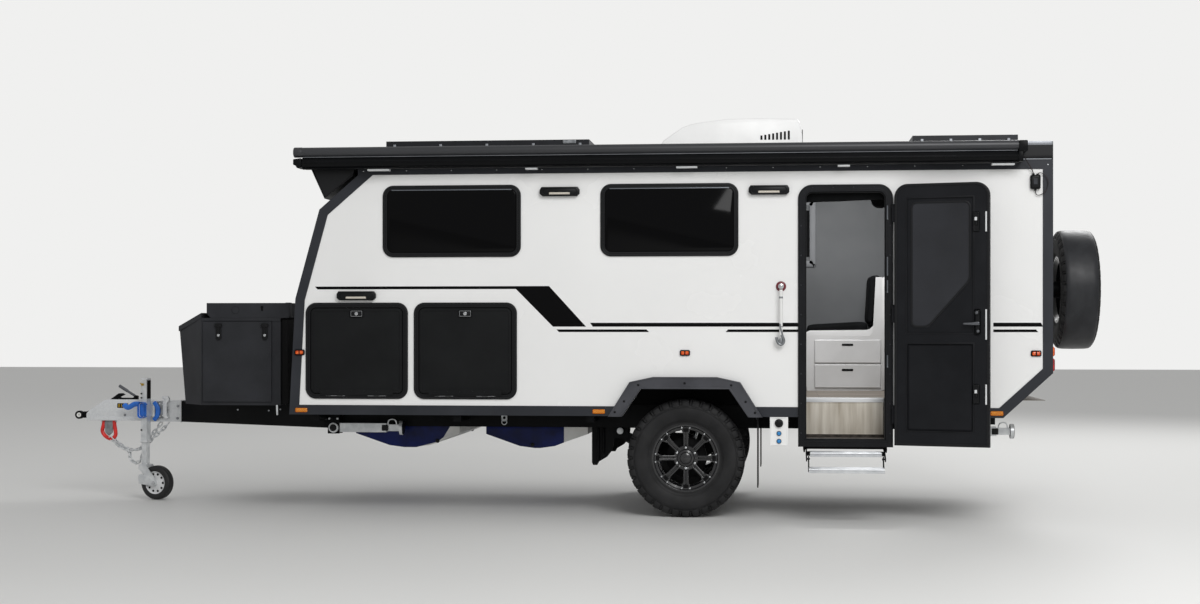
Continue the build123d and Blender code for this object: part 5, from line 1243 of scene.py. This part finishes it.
tread_alloy = finished("pressed_aluminium_tread", "#D3D6D9", 0.34, Metallic=0.45,
                       drift=("#C9CCCF", "#DDDFE1", 60), relief=(3, 0.05, (0.1, 1, 1)),
                       gloss=(0.26, 0.42, 50))
dress(enamel, "step_upper", "step_lower")
for name, x0, x1, y0, y1, z in (("step_upper", -1254, -803, 1000, 1125, 440),
                                ("step_lower", -1264, -793, 1160, 1305, 350)):
    pan = slab("pan", [(y0 - 1, z - 26), (y0 - 1, z + 1), (y1 + 1, z + 1), (y1 + 1, z - 26),
                       (y1 - 2, z - 26), (y1 - 2, z - 2), (y0 + 2, z - 2), (y0 + 2, z - 26)], x0 - 1,
               x1 + 1, 0.6, "yz")
    ribs = [panel("rib", (x0 + 6, y, z + 0.5), (x1 - 6, y + 5, z + 2.5), "+z", 0, (), 0.7)
            for y in range(int(y0) + 8, int(y1) - 12, 11)]
    lip = rod("lip", (x0, y1 + 1, z - 6), (x1, y1 + 1, z - 6), 5, 16)
    built(f"{name}_tread", [pan, *ribs, lip], tread_alloy, name)
knuckles = [rod("knuckle", (x - 6, 985, 455), (x + 6, 985, 455), 17, 24, 2) for x in (-1290, -767)]
built("step_knuckles", knuckles, enamel)
ends = [rod("end", (x - 3, 1135, 400), (x + 3, 1135, 400), 15, 24, 1.5) for x in (-1277, -780)]
built("step_knee_bosses", ends, enamel, "step_upper")

# Drawbar and coupling. The rails end in a galvanised block; bolted to it is a pressed off-road
# coupling with a long sloping nose, its tow eye, the handbrake lever and its chain.

galvanised, shader = coating("hot_dip_galvanised_steel", "#DADCDE", 0.42, Metallic=0.3)
place = add_node(galvanised, "ShaderNodeTexCoord")
# Zinc spangles are 8 to 15 mm across.
spangle = add_node(galvanised, "ShaderNodeTexVoronoi",
                   {"Vector": place.outputs["Object"], "Scale": 1000 / 11})
tones = add_node(galvanised, "ShaderNodeValToRGB", {"Fac": spangle.outputs["Color"]})
tones.color_ramp.elements[0].color = linear("#D4D6D8")
tones.color_ramp.elements[1].color = linear("#E0E2E3")
galvanised.node_tree.links.new(tones.outputs[0], shader.inputs["Base Color"])
worn(galvanised, shader, 0.32, 0.5, 25)
dress(galvanised, "drawbar_head")
dress(enamel, "tow_ring")
housing = slab("coupling_housing", [(3958, 577), (4424, 577), (4424, 610), (4402, 634), (4290, 706),
                                    (4268, 713), (3958, 713)], -57, 57, 7)
for side in (1, -1):
    flange = slab("flange", oblong(3962, 4420, 560, 590), side * 50, side * 59, 2)
    housing = joined("coupling_housing", [housing, flange])
ends = [panel("end_plate", (3952, -80, 550), (3966, 80, 710), "+x", 6, [(5, 1)], 2),
        panel("rear_plate", (3699, -80, 550), (3713, 80, 710), "-x", 6, [(5, 1)], 2)]
built("coupling_housing", [housing, *ends], galvanised, angle=40)
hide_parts("coupling_body")
fixings = []
for x, z in ((3985, 600), (3985, 690), (4130, 600), (4010, 645)):
    for side in (1, -1):
        fixings.append(peg("bolt", x, z, side * 56, side * 66, 9, 6, 1.5))
for x, z in ((3726, 668), (3900, 580), (3730, 580)):
    for side in (1, -1):
        fixings.append(peg("bolt", x, z, side * 74, side * 84, 10, 6, 1.5))
fixings.append(panel("drain", (4030, -40, 566), (4180, 40, 578), "-z", 4, [(4, 1)], 2))
built("coupling_bolts", fixings, cast_grey)
nylon = finished("white_nylon_bush", "#E8E8E5", 0.4, drift=("#E0E0DC", "#EDEDEA", 20),
                 gloss=(0.34, 0.5, 15))
fitted(hoop("tow_eye_bush", arc(4495, 598, 16.5, range(0, 360, 9)), 9, -18, 18, 1.5), nylon)
collar = slab("eye_collar", [(4380, 645), (4398, 634), (4430, 626), (4430, 572), (4404, 572)], -24, 24, 4)
ribs = [slab("eye_rib", oblong(x, x + 8, 576, 622), -21, 21, 2) for x in (4434, 4448, 4460)]
spine = slab("eye_spine", [(4426, 590), (4470, 590), (4470, 616), (4426, 618)], -17, 17, 2)
built("eye_collar", [collar, spine, *ribs], enamel)
brass = finished("brass_knob", "#B8963C", 0.3, Metallic=1.0, gloss=(0.22, 0.4, 15))
recess = slab("release_recess", rounded(4106, 4188, 652, 686, 5), 54, 60, 1)
fitted(recess, matt_black)
catches = [slab("release_catch", oblong(x, x + w, 656, 682), 58, 62, 1)
           for x, w in ((4112, 9), (4130, 14), (4152, 7), (4168, 12))]
built("release_catches", catches, brass)

bracket = slab("brake_bracket", [(4262, 712), (4236, 728), (4196, 756), (4168, 758), (4150, 746),
                                 (4188, 730), (4176, 724), (4090, 724), (4066, 742), (4052, 738),
                                 (4052, 712)], -14, 14, 2)
pivot_pin = peg("pivot_pin", 4068, 730, -20, 20, 9, 20, 2)
built("brake_bracket", [bracket, pivot_pin], enamel)
lever_tube = rod("lever_tube", (4070, 0, 734), (4186, 0, 806), 9, 20, 2)
lever_grip = rod("lever_grip", (4132, 0, 772.5), (4196, 0, 812), 11.5, 24, 4)
grip_grey = finished("grey_rubber_grip", "#55575C", 0.5, relief=(3, 0.15), gloss=(0.42, 0.6, 20))
built("brake_lever", [lever_tube, lever_grip], grip_grey)
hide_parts("handbrake_lever")

# Safety chain. Short-link zinc plated chain in three lengths. Two hang from a red bow shackle under
# the coupling, and one of them loops back up to the drawbar; a short one keeps the jockey wheel's pin.

link = bent("link", [(x, 0, z) for x, z in ((-14, 10), (0, 10.5), (14, 10), (22, 6), (24, 0), (22, -6),
                                            (14, -10), (0, -10.5), (-14, -10), (-22, -6), (-24, 0),
                                            (-22, 6))], 4.6, True)


def chained(points, pitch=33.0):
    """Links laid end to end along a line of places, each turned a quarter from the last."""
    places, made, carried = [Vector(point) for point in points], [], 0.0
    for start, end in zip(places, places[1:]):
        run, direction = (end - start).length, (end - start).normalized()
        while carried < run:
            at = start + direction * carried
            aim = Vector((1, 0, 0)).rotation_difference(direction).to_matrix().to_4x4()
            roll = Matrix.Rotation(math.radians(20 + 90 * (len(made) % 2)), 4, "X")
            made.append(copied(link, Matrix.Translation(spot(*at)) @ aim @ roll
                               @ Matrix.Translation(-spot(0, 0, 0))))
            carried += pitch
        carried -= run
    return made


links = chained([(4240, 34, 424), (4204, 36, 392), (4160, 40, 364), (4108, 44, 347), (4060, 46, 346),
                 (4020, 48, 356), (3992, 48, 374)])
links += chained([(4224, 12, 420), (4180, 14, 380), (4120, 20, 344), (4104, 24, 318), (4100, 28, 286),
                  (4082, 30, 262), (4058, 30, 250), (4030, 32, 262), (4012, 34, 292), (3996, 34, 330),
                  (3984, 34, 366), (3976, 34, 400), (3950, 34, 440), (3900, 32, 500), (3860, 30, 552)])
links += chained([(3925, 96, 418), (3890, 96, 452), (3850, 92, 486), (3815, 88, 520), (3790, 84, 548)])
built("safety_chain", links, zinc, angle=60)
removed(link)
shackle_red = finished("red_powder_coat", "#D8201A", 0.34, Coat_Weight=0.2,
                       drift=("#C41812", "#E32A22", 40), gloss=(0.28, 0.42, 20))
bow = bent("bow", [(4300, 24, 556), (4306, 24, 520), (4318, 24, 480), (4290, 24, 440), (4246, 24, 420),
                   (4212, 24, 444), (4214, 24, 486), (4222, 24, 520), (4224, 24, 556)], 14, sides=6)
yoke = slab("yoke", [(4228, 556), (4236, 470), (4262, 446), (4290, 470), (4298, 556)], 14, 34, 5)
ears = [rod("ear", (x, 24, 548), (x, 24, 574), 13, 24, 3) for x in (4300, 4224)]
built("bow_shackle", [bow, *ears], shackle_red, angle=50)
fitted(yoke, cast_grey)
pin = rod("shackle_pin", (4204, 24, 552), (4322, 24, 552), 7, 20, 2)
fitted(pin, zinc)

# Jockey wheel. A square zinc plated mast in a swivel clamp, wound down by hand, with blue locking
# levers on a drilled disc and a white dished rim in a solid black tyre.

jockey_x, jockey_y, jockey_turn, mast = 3945, 135, -15, 25
dress(zinc, "jockey_tube", "jockey_leg", "jockey_fork")
at_jockey = placing((jockey_x, jockey_y, 0), jockey_turn)
blue_lever = finished("blue_epoxy_lever", "#1767C8", 0.32, Coat_Weight=0.2,
                      drift=("#125BB4", "#1F74DA", 60), gloss=(0.26, 0.4, 25))


def on_mast(name, pieces, material, body="caravan"):
    """Pieces drawn about the mast's own middle, put where the mast stands."""
    for piece in pieces:
        piece.data.transform(at_jockey)
    return built(name, pieces, material, body)


on_mast("mast_cap", [panel("cap", (-mast - 1, -mast - 1, 858), (mast + 1, mast + 1, 872), "+z", 5,
                           [(6, 1)], 2)], galvanised)
on_mast("mast_knob", [peg("knob", 8, 826, mast - 1, mast + 12, 9, 24, 3),
                      rod("stem", (4, mast + 1, 826), (28, mast + 6, 836), 3, 12, 1)], brass)
on_mast("mast_studs", [peg("stud", 18, z, mast - 1, mast + 7, 6, 20, 1.5) for z in (760, 730, 498)],
        moulded_frame)
on_mast("mast_foot_band",
        [panel("band", (-mast - 4, -mast - 4, 408), (mast + 4, mast + 4, 424), "-z", 4, [(4, 1)], 1.5)],
        galvanised)
plate = panel("plate", (-30, mast + 9, 584), (30, mast + 21, 700), "+y", 26, [(7, -2.5), (4, 1)], 2)
arm = bent("arm", [(26, mast + 16, 684), (60, mast + 18, 690), (96, mast + 20, 668),
                   (128, mast + 20, 654), (152, mast + 20, 680)], 19, sides=6)
stem = peg("stem", 0, 640, mast, mast + 12, 16, 24, 2)
on_mast("swivel_lever", [plate, arm, stem], blue_lever)
on_mast("lever_border",
        [hoop("border", rounded(-24, 24, 592, 694, 20), 1.5, mast + 19, mast + 22.5, 0.4)], nylon)
back = panel("back", (-mast - 5, -mast + 4, 724), (-mast - 1, mast - 4, 856), "-x", 3, (), 1)
on_mast("mast_back", [back], matt_black)
disc_x, disc_z, face = jockey_x - 89, 640, 89
crescent = arc(jockey_x, 632, 96, range(128, 233, 8)) + arc(jockey_x + 13, 632, 76, range(228, 131, -8))
fitted(slab("brake_crescent", crescent, face + 4, face + 24, 5), blue_lever, angle=50)
gear = [peg("plate", disc_x, disc_z, face - 2, face + 6, 60, 48, 2)]
gear += [panel("tooth", (x - 5, face - 1, z - 5), (x + 5, face + 5, z + 5), "+y", 1.5, (), 1)
         for x, z in arc(disc_x, disc_z, 58, range(0, 360, 18))]
built("drilled_disc", gear, cast_grey)
drilled = [peg("hole", x, z, face + 5.5, face + 6.4, 5.5, 16) for x, z in arc(disc_x, disc_z, 46,
        range(0, 360, 30))]
built("disc_holes", drilled, nylon)
hook_plate = slab("hook_casting", [(3836, 742), (3796, 742), (3782, 726), (3782, 706), (3800, 690),
                                   (3800, 600), (3786, 584), (3802, 572), (3830, 590), (3832, 700),
                                   (3816, 716), (3836, 724)], 76, 106, 5)
fitted(hook_plate, galvanised, angle=50)

jockey_trail, jockey_r = 100, 122
jockey_rubber = finished("solid_black_rubber", "#161617", 0.55, relief=(5, 0.1), gloss=(0.45, 0.66, 40))
jockey_white = finished("white_moulded_rim", "#DADBDC", 0.36, drift=("#D2D3D4", "#E2E3E4", 60),
                        gloss=(0.3, 0.46, 25))
to_hub = at_jockey @ Matrix.Translation((-jockey_trail / 1000, 0, jockey_r / 1000))
side = [(80, 30), (84, 33), (100, 35), (112, 33), (119, 27), (121.5, 18), (122, 6)]
solid_tyre = spun("jockey_tyre", side + [(radius, -along) for radius, along in reversed(side)], 64)
for groove in (-12, 0, 12):
    solid_tyre = joined("jockey_tyre",
                        [solid_tyre, spun("rib",
                                          [(120, groove - 3), (122, groove - 2), (122, groove + 2),
                                           (120, groove + 3)], 64)])
dish = [(8.1, 38), (20, 38), (24, 30), (40, 24), (70, 22), (76, 30), (81, 33), (83, 29)]
jockey_rim = spun("jockey_rim", dish + [(radius, -along) for radius, along in reversed(dish)], 64)
# Each rim hole is a flat black disc: painted shade standing for the dark inside of the hole.
holes = [peg("hole", x, z, way * 22.5, way * 25, 8, 16)
         for x, z in arc(0, 0, 62, range(0, 360, 36)) for way in (1, -1)]
for name, piece, material in (("jockey_tyre_detail", solid_tyre, jockey_rubber),
                              ("jockey_rim_detail", jockey_rim, jockey_white),
                              ("jockey_rim_hole_shade", joined("holes", holes), matt_black)):
    piece.data.transform(to_hub)
    piece.name = piece.data.name = name
    fitted(piece, material, "jockey_wheel")
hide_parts("jockey_wheel")
arm_shape = [(34, 168), (28, 112), (-96, 98), (-112, 106), (-120, 122), (-112, 140), (-96, 148),
             (-40, 176), (-8, 182), (24, 180)]
arms = paired(slab("arm", arm_shape, 41, 48, 3))
clevis = rod("clevis", (0, 0, 184), (0, 0, 206), 29, 40, 5, top=25)
on_mast("fork_arms", [*arms, clevis], zinc, "jockey_fork")
axle_ends = [peg("nut", 0, 0, way * 46, way * 56, 13, 6, 2) for way in (1, -1)]
for piece in axle_ends:
    piece.data.transform(to_hub)
built("jockey_axle_nuts", axle_ends, stainless, "jockey_fork")

# Front storage box. Folded aluminium sheet in a textured black powder coat, bolted to the drawbar
# rails; a door on each side drops on its foot and shuts with two T-handle latches, and the top is
# a tray lid behind a sloping nose lid.

box_coat, shader = coating("textured_black_powder_coat", "#2B2C30", 0.6, Specular_IOR_Level=0.18)
cloud(box_coat, shader, "#2A2B2E", "#323337", 300)
# The powder's own orange peel is finer than 1 mm; 4 mm shows as the same dull speckle.
grain(box_coat, shader, 4, 0.14)
worn(box_coat, shader, 0.52, 0.7, 200)
dress(box_coat, "front_box", "left_box_door", "right_box_door", "box_tray_lid", "box_nose_lid")
box_face, door_face, box_top, box_rear, box_corner = 700, 712, 1303, 2783, 3339
seal = slab("box_seal", oblong(box_rear - 50, box_rear - 2, 712, 1292), -690, 690, 4)
fitted(seal, matt_black)
shelf = [(box_rear + 2, box_top - 22), (box_corner, box_top - 22), (box_corner + 8, box_top - 14),
         (box_corner, box_top - 3), (box_rear + 2, box_top - 3)]
folds = paired(slab("top_fold", shelf, box_face - 1, box_face + 6, 2),
               slab("rear_post", oblong(2722, 2750, 1306, 1408), 640, box_face - 2, 2),
               slab("corner_fold", oblong(box_corner - 4, box_corner + 4, 708, 1282), box_face - 3,
                    box_face + 2, 1))
folds.append(panel("box_lintel", (3305, -697, 1294), (3339, 697, 1302), "+z", 0, (), 1.5))
built("box_folds", folds, box_coat)
for side, body in ((1, "left_box_door"), (-1, "right_box_door")):
    latches, rivets = [], []
    for x in (3214, 2889):
        plate = rounded(x - 19, x + 19, 1150, 1262, 18)
        latches += [slab("latch_plate", plate, side * (door_face - 1), side * (door_face + 7), 2),
                    slab("latch_tee", rounded(x - 25, x + 25, 1238, 1266, 8), side * (door_face + 3),
                         side * (door_face + 16), 3),
                    slab("latch_stem", rounded(x - 9, x + 9, 1196, 1250, 6), side * (door_face + 3),
                         side * (door_face + 13), 3)]
        rivets.append(peg("latch_lock", x, 1184, side * (door_face + 5), side * (door_face + 11), 11,
                          32, 1.5, top=9))
    built(f"{body}_latches", latches, moulded_frame, body)
    built(f"{body}_locks", rivets, stainless, body)
knockout = arc(3100, 1357, 27, range(0, 360, 9))
marks = paired(hoop("cable_knockout", knockout, 1.6, box_face - 2, box_face + 1, 0.5),
               slab("key_slot", rounded(2906, 2920, 1350, 1384, 6.5), box_face - 2, box_face + 1, 0.5))
marks += [peg("key_slot_head", 2913, 1376, side * (box_face - 2), side * (box_face + 1.5), 10, 24, 0.5)
          for side in (1, -1)]
built("tray_marks", marks, matt_black, "box_tray_lid")
rail_dots = [peg("rail_bolt", x, z, 716, 723, 6, 6, 1) for x, z in ((3077, 675), (2860, 670), (2779, 679))]
built("rail_bolts", paired(*rail_dots), cast_grey)
tabs = paired(slab("jack_tab", [(2708, 655), (2718, 655), (2721, 722), (2710, 722)], 1010, 1022, 1.5))
built("corner_tabs", tabs, zinc)

# Pop-top roof. One-piece composite lid with a pale gelcoat top and a black edge moulding; it lifts
# straight up on struts and carries the awning, solar panels and air conditioner.

roof_skin, shader = coating("roof_gelcoat_and_black_edge", "#101113", 0.36, Specular_IOR_Level=0.3)
# The skin's top is pale against the heat, and the edge moulding that turns down round it is black.
place = add_node(roof_skin, "ShaderNodeTexCoord")
facing = add_node(roof_skin, "ShaderNodeSeparateXYZ", {"Vector": place.outputs["Normal"]})
upward = add_node(roof_skin, "ShaderNodeMapRange", {"Value": facing.outputs["Z"], "From Min": 0.85,
                                                    "From Max": 0.95})
mottle = add_node(roof_skin, "ShaderNodeTexNoise",
                  {"Vector": place.outputs["Object"], "Scale": 1000 / 400, "Detail": 3})
tones = add_node(roof_skin, "ShaderNodeValToRGB", {"Fac": mottle.outputs["Fac"]})
tones.color_ramp.elements[0].color = linear("#D6D7D8")
tones.color_ramp.elements[1].color = linear("#E2E3E4")
mixed = add_node(roof_skin, "ShaderNodeMix", {"Factor": upward.outputs[0], "A": linear("#101113"),
                                              "B": tones.outputs[0]}, data_type="RGBA")
roof_skin.node_tree.links.new(mixed.outputs["Result"], shader.inputs["Base Color"])
grain(roof_skin, shader, 6, 0.04)
worn(roof_skin, shader, 0.3, 0.46, 250)
dress(roof_skin, "roof", "roof_peak")
roof_x, roof_z, roof_face = (-2332, 2480), (2300, 2418), 1054
# Besides the real mouldings and feet, this pale grey also draws the awning's painted glint strip.
pale_edge = finished("grey_aluminium_moulding_and_painted_glint", "#8E9196", 0.4, Metallic=0.6,
                     drift=("#85888D", "#979A9F", 200), gloss=(0.32, 0.5, 90))
strips = paired(slab("drip_mould", rounded(roof_x[0] + 6, roof_x[1] - 6, roof_z[1] - 24, roof_z[1] + 1,
                                           6, 4), roof_face - 2, roof_face + 4, 1.5),
                slab("bright_line", oblong(roof_x[0] + 10, roof_x[1] - 10, roof_z[0] + 2, roof_z[0]
                                           + 9), roof_face - 2, roof_face + 3, 1))
edges = paired(slab("edge_lip", oblong(roof_x[0] + 4, roof_x[1] - 4, roof_z[0] + 9, roof_z[0] + 30),
                    roof_face - 2, roof_face + 5, 2))
for x in (roof_x[0] - 1, roof_x[1] - 4):
    strips.append(slab("drip_mould", oblong(-roof_face + 6, roof_face - 6, roof_z[1] - 24, roof_z[1]
                                            + 1), x, x + 5, 1.5, "yz"))
built("roof_mouldings", strips, pale_edge, "roof")
built("roof_edge_lips", edges, moulded_frame, "roof")
peak_rim = slab("peak_rim", [(2380, 2093), (2478, 2296), (2468, 2298), (2374, 2104), (2196, 2250),
                             (2188, 2240)], 1044, 1056, 2)
built("peak_rims", paired(peak_rim), moulded_frame, "roof")
hatch = slab("hatch_base", rounded(200, 640, -250, 190, 40), roof_z[1] - 2, roof_z[1] + 26, 4, "xy")
dome = slab("hatch_dome", rounded(212, 628, -238, 178, 50), roof_z[1] + 24, roof_z[1] + 62, 16, "xy")
fitted(hatch, trim_coat, "roof")
fitted(dome, smoked, "roof")

# Awning. A black extruded cassette along the left side, with its rolled canopy in a round cover
# above, cast ends, and short pale fixing plates beneath.

awning_black = finished("black_powder_coated_extrusion", "#08090A", 0.42, Specular_IOR_Level=0.12,
                        drift=("#070809", "#0D0E10", 600, (0.15, 1, 1)), relief=(5, 0.05, (0.1, 1, 1)),
                        gloss=(0.3, 0.48, 200))
# The roller cover's grey is set lighter than the case's black partly as painted sheen: it stands for the
# highlight along the round tube.
cover_black_with_painted_sheen = finished("satin_black_roller_cover_with_painted_sheen", "#2E2F31", 0.36, Specular_IOR_Level=0.45,
                       drift=("#292A2C", "#343538", 600, (0.15, 1, 1)), gloss=(0.3, 0.46, 200))
roller_y, roller_z, roller_r, roller_x = 1140, 2386, 32, (-2108, 2508)
case = slab("awning_case", [(1056, 2279), (1056, 2410), (1092, 2415), (1104, 2404), (1106, 2358),
                            (1150, 2352), (1176, 2316), (1164, 2290), (1142, 2279)], roller_x[0] + 2,
            roller_x[1] - 2, 2, "yz")
ribs = [slab("case_rib", [(1174, 2312), (1180, 2312), (1180, 2318), (1172, 2322)], roller_x[0] + 4,
             roller_x[1] - 4, 1, "yz"),
        slab("case_rib", [(1146, 2277), (1160, 2284), (1164, 2278), (1148, 2272)], roller_x[0] + 4,
             roller_x[1] - 4, 1, "yz")]
castings = [slab("front_casting", [(2510, 2288), (2538, 2282), (2546, 2298), (2563, 2304), (2563, 2340),
                                   (2510, 2347)], 1062, 1172, 4),
            slab("rear_casting", rounded(-2159, -2104, 2345, 2415, 8, 4), 1062, 1178, 4),
            slab("rear_foot", rounded(-2132, -2104, 2281, 2350, 5, 4), 1062, 1172, 3)]
built("awning_case", [case, *ribs, *castings], awning_black, "roof")
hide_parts("awning")
cover = rod("awning_cover", (roller_x[0], roller_y, roller_z), (roller_x[1], roller_y, roller_z),
            roller_r, 48)
end_cap = rod("end_cap", (roller_x[1] - 2, roller_y, roller_z), (2563, roller_y, roller_z), roller_r
              + 1.5, 48, 5)
built("awning_cover", [cover, end_cap], cover_black_with_painted_sheen, "roof")
# A thin pale strip between the roller cover and the case is a painted glint: it stands for the bright line
# of light along that gap.
glint_strip = slab("awning_painted_glint", [(1138, 2352), (1158, 2350), (1160, 2354), (1138, 2357)], roller_x[0] + 10,
           roller_x[1] - 10, 1, "yz")
fitted(glint_strip, pale_edge, "roof")
tags = [panel("fixing_plate", (low, 1096, 2262), (high, 1146, 2277), "-z", 2, (), 1)
        for low, high in ((1927, 2073), (952, 1030), (-83, 52), (-1054, -978), (-2082, -1940))]
built("awning_plates", tags, galvanised, "roof")

# Solar panels. Two framed modules of dark cells under glass, held off the roof on small bright
# aluminium feet along their long edges.

cells, shader = coating("monocrystalline_cells_under_glass", "#0B0F1C", 0.12, Coat_Weight=0.6,
                        Coat_Roughness=0.05)
place = add_node(cells, "ShaderNodeTexCoord")
grid = add_node(cells, "ShaderNodeTexBrick",
                {"Vector": place.outputs["Object"], "Color1": linear("#0A0E1C"),
                 "Color2": linear("#0D1223"), "Mortar": linear("#3B3F47"), "Scale": 1,
                 "Mortar Size": 0.0014, "Brick Width": 0.157, "Row Height": 0.157}, offset=0)
cells.node_tree.links.new(grid.outputs["Color"], shader.inputs["Base Color"])
worn(cells, shader, 0.08, 0.18, 200)
solar_black = finished("black_anodised_frame", "#17181C", 0.36, Metallic=0.4,
                       drift=("#141519", "#1D1F24", 150), gloss=(0.3, 0.46, 60))
dress(solar_black, "solar_panels")
solar_half, solar_z, glass, feet = 800, (2454, 2489), [], []
for x0, x1 in ((651, 2025), (-2147, -1472)):
    glass.append(panel("cell_sheet", (x0 + 14, -solar_half + 14, solar_z[1] - 2),
                       (x1 - 14, solar_half - 14, solar_z[1] + 2), "+z", 3, [(8, -1)], 0.5))
    count = 5 if x1 > 0 else 4
    for k in range(count):
        x = x0 + 60 + (x1 - x0 - 120) * k / (count - 1)
        for side in (1, -1):
            feet.append(panel("foot", (x - 9, side * 806 - 9, roof_z[1]),
                              (x + 9, side * 806 + 9, solar_z[0] + 12), "+z", 2, (), 1.5))
built("solar_cells", glass, cells, "roof")
built("solar_feet", feet, pale_edge, "roof")
junction = panel("junction_box", (737, 790, 2462), (827, 812, 2486), "+y", 5, [(5, 1)], 3)
fitted(junction, cast_grey, "roof")

# Air conditioner. Roof unit under a one-piece white ASA shroud, with slotted vents low on each
# side near its tail and a dark rubber foot.

shroud_white = finished("white_asa_shroud", "#F1F1F0", 0.36, drift=("#ECECEB", "#F4F4F3", 250),
                        relief=(8, 0.04), gloss=(0.3, 0.46, 120))
shroud = slab("shroud", [(213, 2424), (203, 2500), (186, 2526), (60, 2612), (0, 2634), (-60, 2646),
                         (-250, 2668), (-500, 2671), (-722, 2664), (-742, 2650), (-762, 2560),
                         (-766, 2424)], -338, 338, 22)
fitted(shroud, shroud_white, "roof", 40)
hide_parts("air_conditioner")
slots = []
for k in range(8):
    x, top = -478 - 26.6 * k, 2552 + 4.4 * k
    slots.append(slab("vent_slot", oblong(x - 14, x, 2522, top), 334, 340, 1))
slots = paired(*slots)
slots.append(slab("intake", rounded(-260, 260, 2500, 2600, 12), -767, -763, 1, "yz"))
skirting = slab("rubber_foot", [(218, 2416), (210, 2436), (-764, 2436), (-768, 2416)], -342, 342, 4)
built("vent_slots", slots, matt_black, "roof")
fitted(skirting, bead_rubber, "roof")

# Pop-top skirt. Coated vinyl cloth all round under the roof, pleated so that it folds inwards when
# the roof comes down; its foot is on the wall tops and its head is on the roof.

vinyl, shader = coating("grey_coated_vinyl_cloth", "#6E7074", 0.55)
cloud(vinyl, shader, "#66686C", "#77797D", 160)
# Its base cloth has about 10 threads to the centimetre; a 5 mm pattern shows the same tooth.
grain(vinyl, shader, 5, 0.12)
worn(vinyl, shader, 0.45, 0.65, 80)
skirt_x, skirt_y, skirt_z, fold_in, folds = (-2267.7, 2089.7), 989.7, (2250, 2372), 70, 6
rows = [(skirt_z[0] + (skirt_z[1] - skirt_z[0]) * k / folds, fold_in * (k % 2)) for k in range(folds + 1)]
bpy.ops.object.select_all(action="DESELECT")
bpy.ops.mesh.primitive_grid_add(x_subdivisions=8, y_subdivisions=folds)
skirt = bpy.context.object
corner = 60
for number, vertex in enumerate(skirt.data.vertices):
    row, column = divmod(number, 9)
    z, inward = rows[row]
    x0, x1, y1 = skirt_x[0] + inward + 2, skirt_x[1] - inward - 2, skirt_y - inward - 2
    ring = [(x1, corner - y1), (x1, y1 - corner), (x1 - corner, y1), (x0 + corner, y1),
            (x0, y1 - corner), (x0, corner - y1), (x0 + corner, -y1), (x1 - corner, -y1)]
    x, y = ring[column % 8]
    vertex.co = spot(x, y, z)
settle(skirt)
outward(skirt)
skirt.name = skirt.data.name = "skirt_cloth"
modified(skirt, "SOLIDIFY", thickness=0.0012, offset=0)
skirt.data.materials.append(vinyl)
# A corner cut off by so much each way shortens the ring by about 0.6 of it.
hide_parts("pop_top_skirt")
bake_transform(skirt)

# Spare wheel carrier. Welded steel bracket on the rear wall with a stub that passes the wheel's
# hub, in black enamel, and a bright clamp nut on its end.

dress(enamel, "spare_carrier")
nut = rod("clamp_nut", (-2596, *spare_at[1:]), (-2614, *spare_at[1:]), 24, 6, 3)
fitted(nut, zinc)

# Spare wheel band. Black coated vinyl stretched round the spare tyre's tread, held by an elastic
# hem on each shoulder, so that the tyre's shoulder blocks still show.

band_vinyl = finished("black_coated_vinyl_band", "#232427", 0.46, Specular_IOR_Level=0.3,
                      drift=("#1F2023", "#292A2D", 70, (1, 1, 0.5)), relief=(60, 0.9),
                      gloss=(0.34, 0.52, 60))
crown = [(383, -103), (388.5, -94), (391.5, -70), (392.5, 0), (391.5, 70), (388.5, 94), (383, 103)]
band = spun("spare_wheel_band", crown + [(radius - 1.2, along) for radius, along in reversed(crown)],
            96, (0, 1, 0))
band.data.transform(placing(spare_at, spare_turn))
fitted(band, band_vinyl, angle=60)
